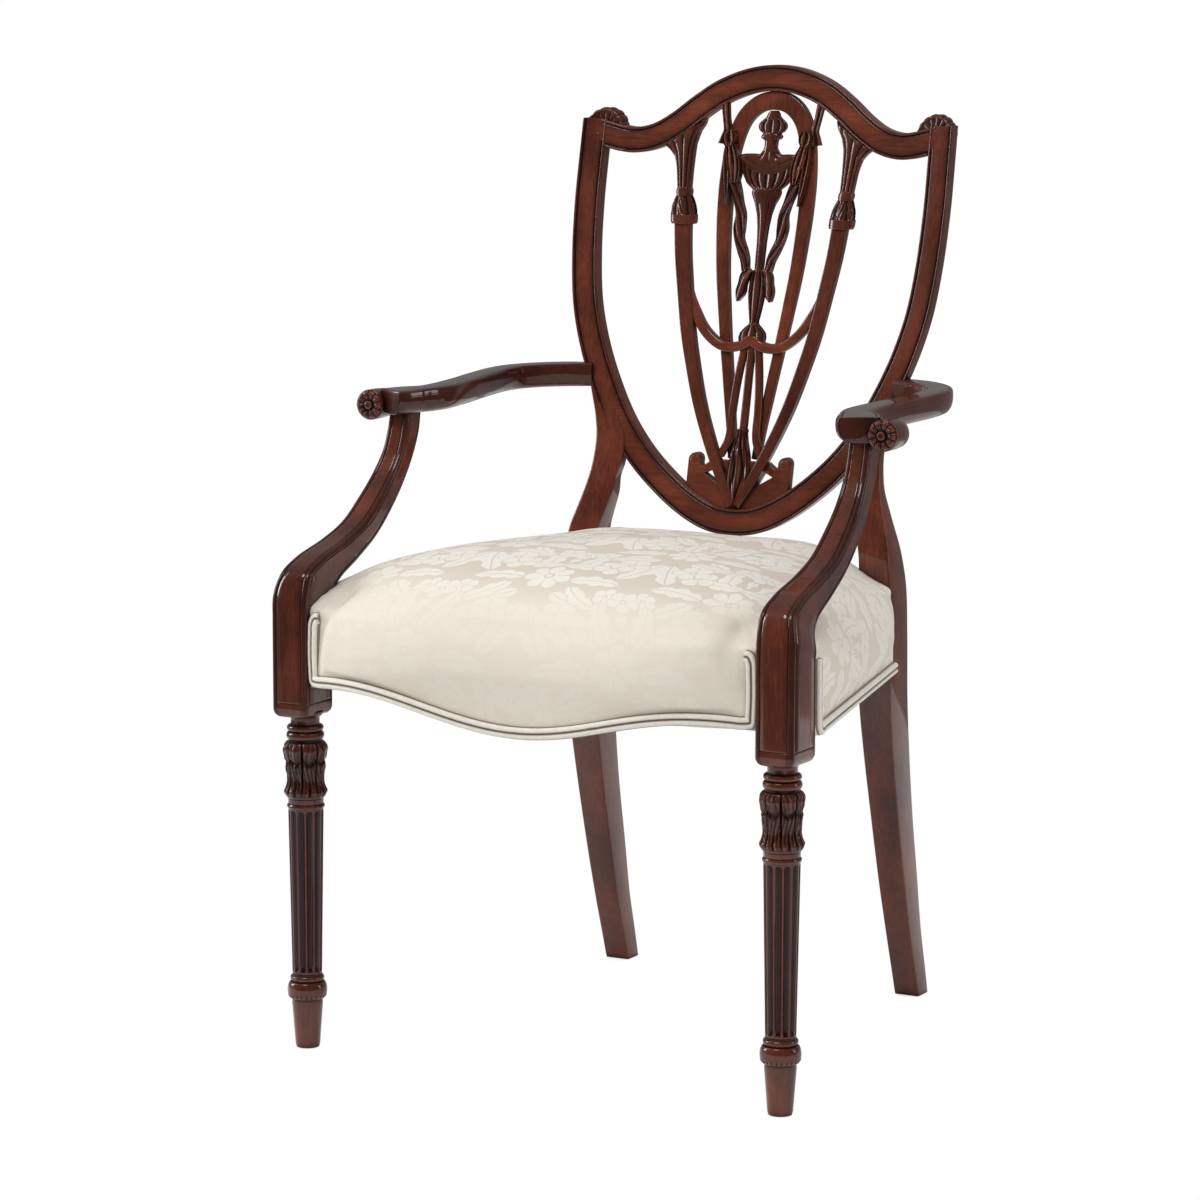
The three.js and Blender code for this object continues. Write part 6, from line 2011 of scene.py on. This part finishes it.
    def _pulled(self, body: Array, out: Array) -> Array:
        """Gives the cover its folds and dimples beside the posts and its slight unevenness.

        Args:
            body: Points of the cover by ring and place.
            out: Outward direction at each place.

        Returns:
            The moved points.
        """
        x, y, z = body[..., 0], body[..., 1], body[..., 2]
        side = np.sign(x)
        skirt = bump(z, 440, 42)
        ax, d = np.abs(x), np.zeros_like(x)
        near_front = bump(ax, 226, 22) * (y < -200)
        fold = np.sin((ax - 226) * 0.16 + (z - 430) * 0.075)
        d -= near_front * skirt * (2.6 + 1.5 * fold)
        d -= 11.5 * bump(ax, 229, 15) * bump(z, 463, 16) * (y < -150)
        near_side = bump(y, -190, 26) * (ax > 240)
        d -= near_side * skirt * (2.4 + 1.4 * np.sin(y * 0.15 - (z - 430) * 0.08))
        near_rear = bump(y, 140, 26) * (ax > 180)
        d -= near_rear * skirt * (2.0 + 1.2 * np.sin(y * 0.16 + (z - 430) * 0.08))
        uneven = np.sin(x * 0.021 + 1.3) * np.sin(y * 0.026 + 0.7) + 0.6 * np.sin(x * 0.047 - y * 0.039)
        lift = 0.8 * uneven * ease(z, 470, 505)
        d += 0.7 * np.sin(x * 0.031 + z * 0.024) * skirt
        body = body.copy()
        body[..., :2] += out[None] * (d * (1 - ease(z, 492, 514)) * ease(z, 366, 388))[..., None]
        corner = ease(np.abs(x), 110, 200) * ease(y, 30, 165) * ease(z, 440, 505)
        body[..., 2] += lift - 19.0 * corner
        body[..., 0] -= side * 6.0 * ease(np.abs(x), 120, 190) * ease(y, -20, 140) * bump(z, 478, 26)
        return body

    def _frames(self, stops: Array, outs: Array, count: int) -> tuple[Array, Array, Array]:
        """Points, across and outward directions along a piping path.

        Args:
            stops: Points of the path.
            outs: Outward directions there.
            count: Rings along the path.

        Returns:
            Points, across and outward directions.
        """
        curve = Curve(stops, even=False)
        shares = np.linspace(0, 1, count)
        point, heading = curve.at(shares)
        place = curve.places(shares)
        out = np.stack([np.interp(place, np.arange(len(outs)), outs[:, k]) for k in range(3)], -1)
        out -= heading * (out * heading).sum(1)[:, None]
        out /= np.linalg.norm(out, axis=1)[:, None]
        across = np.cross(heading, out)
        return point, across / np.linalg.norm(across, axis=1)[:, None], out

    def double_welt(self, stops: Array, outs: Array, count: int) -> tuple[Skin, Array]:
        """Two covered cords side by side on a narrow strip.

        Args:
            stops: Points of the path.
            outs: Outward directions there.
            count: Rings along the path.

        Returns:
            The skin, and at each point the share of the seam line and of painted shade in the crease between and
            behind the cords.
        """
        point, across, out = self._frames(stops, outs, count)
        radius = self.welt / 2 * 1.02
        angle = np.linspace(0, 2 * math.pi, 20, endpoint=False)
        skin, seam_and_crease_shade = Skin(), []
        for side in (-1, 1):
            u = side * (self.welt / 2) + radius * np.cos(angle)
            v = self.welt / 2 + radius * np.sin(angle) - 0.2
            rings = point[:, None] + across[:, None] * u[None, :, None] + out[:, None] * v[None, :, None]
            wobble = 1 + 0.015 * np.sin(np.arange(count) * 0.9 + side)[:, None, None]
            centre = point + across * side * self.welt / 2 + out * self.welt / 2
            rings = centre[:, None] + (rings - centre[:, None]) * wobble
            skin.loft(rings)
            # Painted shade on the sides of each cord that face the other cord and the cover; the strip below is the
            # seam line.
            mark_and_painted_light = np.clip(-np.cos(angle) * side - 0.3, 0, 1) * 2.2 + np.clip(-np.sin(angle) - 0.25, 0, 1) * 1.5
            seam_and_crease_shade.append(np.broadcast_to(np.clip(mark_and_painted_light, 0, 1), (count, 20)).ravel())
        strip = np.array([(-6.4, 0.1), (-6.4, 0.7), (0, 1.5), (6.4, 0.7), (6.4, 0.1)])
        rings = point[:, None] + across[:, None] * strip[None, :, :1] + out[:, None] * strip[None, :, 1:]
        skin.loft(rings)
        seam_and_crease_shade.append(np.full(count * 5, 0.85))
        return skin, np.concatenate(seam_and_crease_shade)

    def front_welt(self) -> tuple[Skin, Array]:
        """Piping along the serpentine front edge, with its upturned ends.

        Returns:
            The skin, and at each point the share of the seam line and of painted crease shade.
        """
        stops, outs = [], []
        for x in np.linspace(0, 235, 34):
            y, z = self.front_edge(x)
            slope = self.front_edge(x + 0.5)[0] - self.front_edge(x - 0.5)[0]
            stops.append((x, float(y), float(z) + self.welt))
            outs.append((float(slope), -1.0, 0.0))
        y, z = self.front_edge(self.welt_end + 0.8)
        for up in (0.0, 0.06, 0.2, 0.4, 0.6, 0.8, 1.0):
            x = self.welt_end + 1.2 * math.sin(up * 3)
            stops.append((x, float(y) - 0.6, lerp(up, float(z) + 8.0, self.welt_top)))
            outs.append((0.25, -1.0, 0.0))
        for turn in (0.5, 1.0):
            x = self.welt_end + 0.2 - 6 * turn
            stops.append((x, float(y) - 0.6, self.welt_top + 6.5 * math.sin(turn * 2)))
            outs.append((0.25, -1.0, 0.0))
        stops, outs = np.array(stops, float), np.array(outs, float)
        flip = np.array([-1.0, 1.0, 1.0])
        stops = np.concatenate([stops[:0:-1] * flip, stops])
        outs = np.concatenate([outs[:0:-1] * flip, outs])
        return self.double_welt(stops, outs, 460)

    def side_welt(self) -> tuple[Skin, Array]:
        """Piping along a side, with its upturned front end.

        Returns:
            The skin, and at each point the share of the seam line and of painted crease shade.
        """
        out = (*self._side_out(), 0.0)
        start = self.block_back + 8.5
        stops, outs = [], []
        for z in np.linspace(self.welt_top, 378, 6):
            stops.append((float(self.side_x(start)), start, float(z)))
            outs.append(out)
        stops[-1] = (stops[-1][0], stops[-1][1] + 0.8, stops[-1][2])
        for y in np.linspace(start + 8, 158.0, 22):
            stops.append((float(self.side_x(y)), float(y), self.side_low + self.welt))
            outs.append(out)
        return self.double_welt(np.array(stops, float), np.array(outs, float), 240)

    def back_welt(self) -> tuple[Skin, Array]:
        """Piping along the back.

        Returns:
            The skin, and at each point the share of the seam line and of painted crease shade.
        """
        x = np.linspace(-157.2, 157.2, 30)
        stops = np.stack([x, np.full(30, self.back_y), np.full(30, self.side_low + self.welt)], -1)
        return self.double_welt(stops, np.tile([0.0, 1.0, 0.0], (30, 1)), 160)

    def _pipe(self, name: str, made: tuple[Skin, Array], finishes: Finishes) -> None:
        """Makes one length of piping.

        Args:
            name: Node that it finishes.
            made: Its skin, and its seam line and painted crease shade at each point.
            finishes: The chair's finishes.
        """
        skin, seam_and_crease_shade = made
        piece = skin.to_object(f"{name}_finished", finishes.piping, 60)
        note(piece.data, "seam_and_crease_shade", seam_and_crease_shade)
        dress(piece, "piping", name)

    def build(self, finishes: Finishes) -> None:
        """Makes the covered seat and its piping.

        Args:
            finishes: The chair's finishes.
        """
        skin, cloth = self.cushion()
        cushion = skin.to_object("seat_cushion_finished", finishes.damask, 75)
        note(cushion.data, "cloth", cloth)
        dress(cushion, "damask", "seat_cushion")
        self._pipe("front_welt", self.front_welt(), finishes)
        self._pipe("back_welt", self.back_welt(), finishes)
        side, seam_and_crease_shade = self.side_welt()
        self._pipe("side_welt_right", (side, seam_and_crease_shade), finishes)
        self._pipe("side_welt_left", (side.mirrored(), seam_and_crease_shade), finishes)


@dataclass
class HiddenFrame:
    """Seat rails, corner blocks, screws and webbing, kept as the frame has them, and the lining."""

    nodes: dict
    lining_front: float = -212.0

    def build(self, finishes: Finishes) -> None:
        """Gives every carried-over node its finish.

        Args:
            finishes: The chair's finishes.
        """
        for name, piece in list(self.nodes.items()):
            if name == "seat_lining":
                dress(self._lining(piece, finishes.dust_cover), "lining", name)
                continue
            material = self._finish(name, finishes)
            if material is None:
                continue
            piece.data.materials.clear()
            piece.data.materials.append(material)
            LOG.info("%s: finish %s", name, material.name)

    def _lining(self, node: bpy.types.Object, cloth: bpy.types.Material) -> bpy.types.Object:
        """Dust cover with its front edge tacked back behind the raised parts of the front edge.

        Args:
            node: The lining's node.
            cloth: Its material.

        Returns:
            The finished lining.
        """
        mesh = node.data.copy()
        places = np.array([node.matrix_world @ v.co for v in mesh.vertices])
        places[:, 1] = np.maximum(places[:, 1], self.lining_front * MM)
        mesh.vertices.foreach_set("co", places.ravel())
        mesh.materials.clear()
        mesh.materials.append(cloth)
        return linked("seat_lining_finished", mesh)

    def _finish(self, name: str, finishes: Finishes) -> bpy.types.Material | None:
        """Finish of a node, or None for one that a finished piece replaces.

        Args:
            name: Name of the node.
            finishes: The chair's finishes.

        Returns:
            Its material, or None.
        """
        if "screw" in name:
            return finishes.steel
        if name.startswith("webbing"):
            return finishes.jute
        if name in ("front_rail", "back_rail") or "block" in name:
            return finishes.beech_across
        return finishes.beech_along if name.startswith("side_rail") else None


@dataclass
class Studio:
    """Pale floor, white surroundings, soft lamps and the photograph's camera."""

    target: tuple = (0.0, -0.12626, 0.5)
    azimuth: float = 28.777
    elevation: float = 8.192
    roll: float = 0.056
    distance: float = 4.3186
    focal_share: float = 4332.9 / 1200
    shift: tuple = (0.00631, -0.02935)
    floor_half: float = 1.7
    floor_level: float = -0.0006

    def build(self) -> None:
        """Sets the whole studio up."""
        scene = bpy.context.scene
        scene.view_settings.view_transform = "Standard"
        self._floor()
        self._world(scene)
        self._lamps()
        self._camera(scene)

    def _floor(self) -> None:
        """Pale floor that shows white to the camera and keeps the chair's shadow."""
        mesh = bpy.data.meshes.new("floor")
        steps = np.linspace(-self.floor_half, self.floor_half, 9)
        grid = [(x, y, self.floor_level) for y in steps for x in steps]
        faces = [(i + j * 9, i + 1 + j * 9, i + 10 + j * 9, i + 9 + j * 9) for j in range(8) for i in range(8)]
        mesh.from_pydata(grid, [], faces)
        floor = linked("floor", mesh)
        made = bpy.data.materials.new("pale_floor")
        made.use_nodes = True
        g = Graph(made.node_tree)
        diffuse = g.put("BsdfDiffuse", None, {"Color": (0.82, 0.82, 0.82, 1.0)})
        glow = g.put("Emission", None, {"Color": (1.0, 1.0, 1.0, 1.0), "Strength": 1.0})
        path = g.put("LightPath")
        lit = g.openness(0.35, 16).step(0.0, 0.72)
        seen = Value(g, path.outputs["Is Camera Ray"]) * (0.55 + lit * 0.45)
        mix = g.put("MixShader", None, {0: seen, 1: diffuse.outputs[0], 2: glow.outputs[0]})
        g.put("OutputMaterial", None, {0: mix.outputs[0]})
        mesh.materials.append(made)

    def _world(self, scene: bpy.types.Scene) -> None:
        """White to the camera, and a soft even surround with a darker front for everything else.

        Args:
            scene: The scene to light.
        """
        world = bpy.data.worlds.new("surround")
        scene.world = world
        world.use_nodes = True
        g = Graph(world.node_tree)
        way = Value(g, g.put("TexCoord").outputs["Generated"])
        x, y, z = g.split(way)
        front = (x * 0.9 - y).step(-0.3, 0.3)
        rays = g.put("LightPath")
        shiny = Value(g, rays.outputs["Is Glossy Ray"])
        calm = 0.66 + z.step(-0.2, 1.0) * 0.16
        level = calm * (1.0 - shiny) + (0.22 - front * 0.19) * shiny
        camera = Value(g, rays.outputs["Is Camera Ray"])
        soft = g.put("Background", None, {"Color": (1.0, 1.0, 1.0, 1.0), "Strength": level})
        white = g.put("Background", None, {"Color": (1.0, 1.0, 1.0, 1.0), "Strength": 1.0})
        mix = g.put("MixShader", None, {0: camera, 1: soft.outputs[0], 2: white.outputs[0]})
        g.put("OutputWorld", None, {0: mix.outputs[0]})

    def _lamps(self) -> None:
        """Tall soft lamp and a narrow strip on the left, a small one overhead and a weak fill from the right."""
        for name, place, size, power in (
            ("left_lamp", (-3.2, -0.75, 1.5), (0.5, 1.5), 27.0),
            ("overhead_lamp", (-0.2, -1.5, 3.1), (1.2, 0.7), 26.0),
            ("strip_lamp", (-2.6, -1.0, 1.9), (0.16, 2.6), 13.0),
            ("right_lamp", (3.3, 1.2, 1.4), (0.6, 2.0), 14.0),
        ):
            data = bpy.data.lights.new(name, "AREA")
            data.shape = "RECTANGLE"
            data.size, data.size_y = size
            data.energy = power
            lamp = linked(name, data)
            lamp.location = place
            aim = Vector((0.0, -0.05, 0.5)) - Vector(place)
            lamp.rotation_euler = aim.to_track_quat("-Z", "Y").to_euler()

    def _camera(self, scene: bpy.types.Scene) -> None:
        """Camera at the photograph's viewpoint.

        Args:
            scene: The scene to look at.
        """
        data = bpy.data.cameras.new("camera")
        data.sensor_width = 36.0
        data.sensor_fit = "HORIZONTAL"
        data.lens = 36.0 * self.focal_share
        data.shift_x, data.shift_y = self.shift
        data.clip_end = 50.0
        camera = linked("camera", data)
        a, e = math.radians(self.azimuth), math.radians(self.elevation)
        way = Vector((math.sin(a) * math.cos(e), -math.cos(a) * math.cos(e), math.sin(e)))
        camera.location = Vector(self.target) + way * self.distance
        camera.rotation_euler = (-way).to_track_quat("-Z", "Y").to_euler()
        camera.rotation_euler.rotate_axis("Z", math.radians(self.roll))
        scene.camera = camera


def main() -> None:
    """Builds the chair over its frame and sets the studio up."""
    logging.basicConfig(level=logging.INFO, format="%(name)s %(message)s")
    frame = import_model()
    finishes = Finishes()
    ShieldFrame().build(finishes)
    Splat().build(finishes)
    FrontPost().build(finishes)
    Arm().build(finishes)
    Seat().build(finishes)
    HiddenFrame(frame["nodes"]).build(finishes)
    Studio().build()


if __name__ == "__main__":
    main()
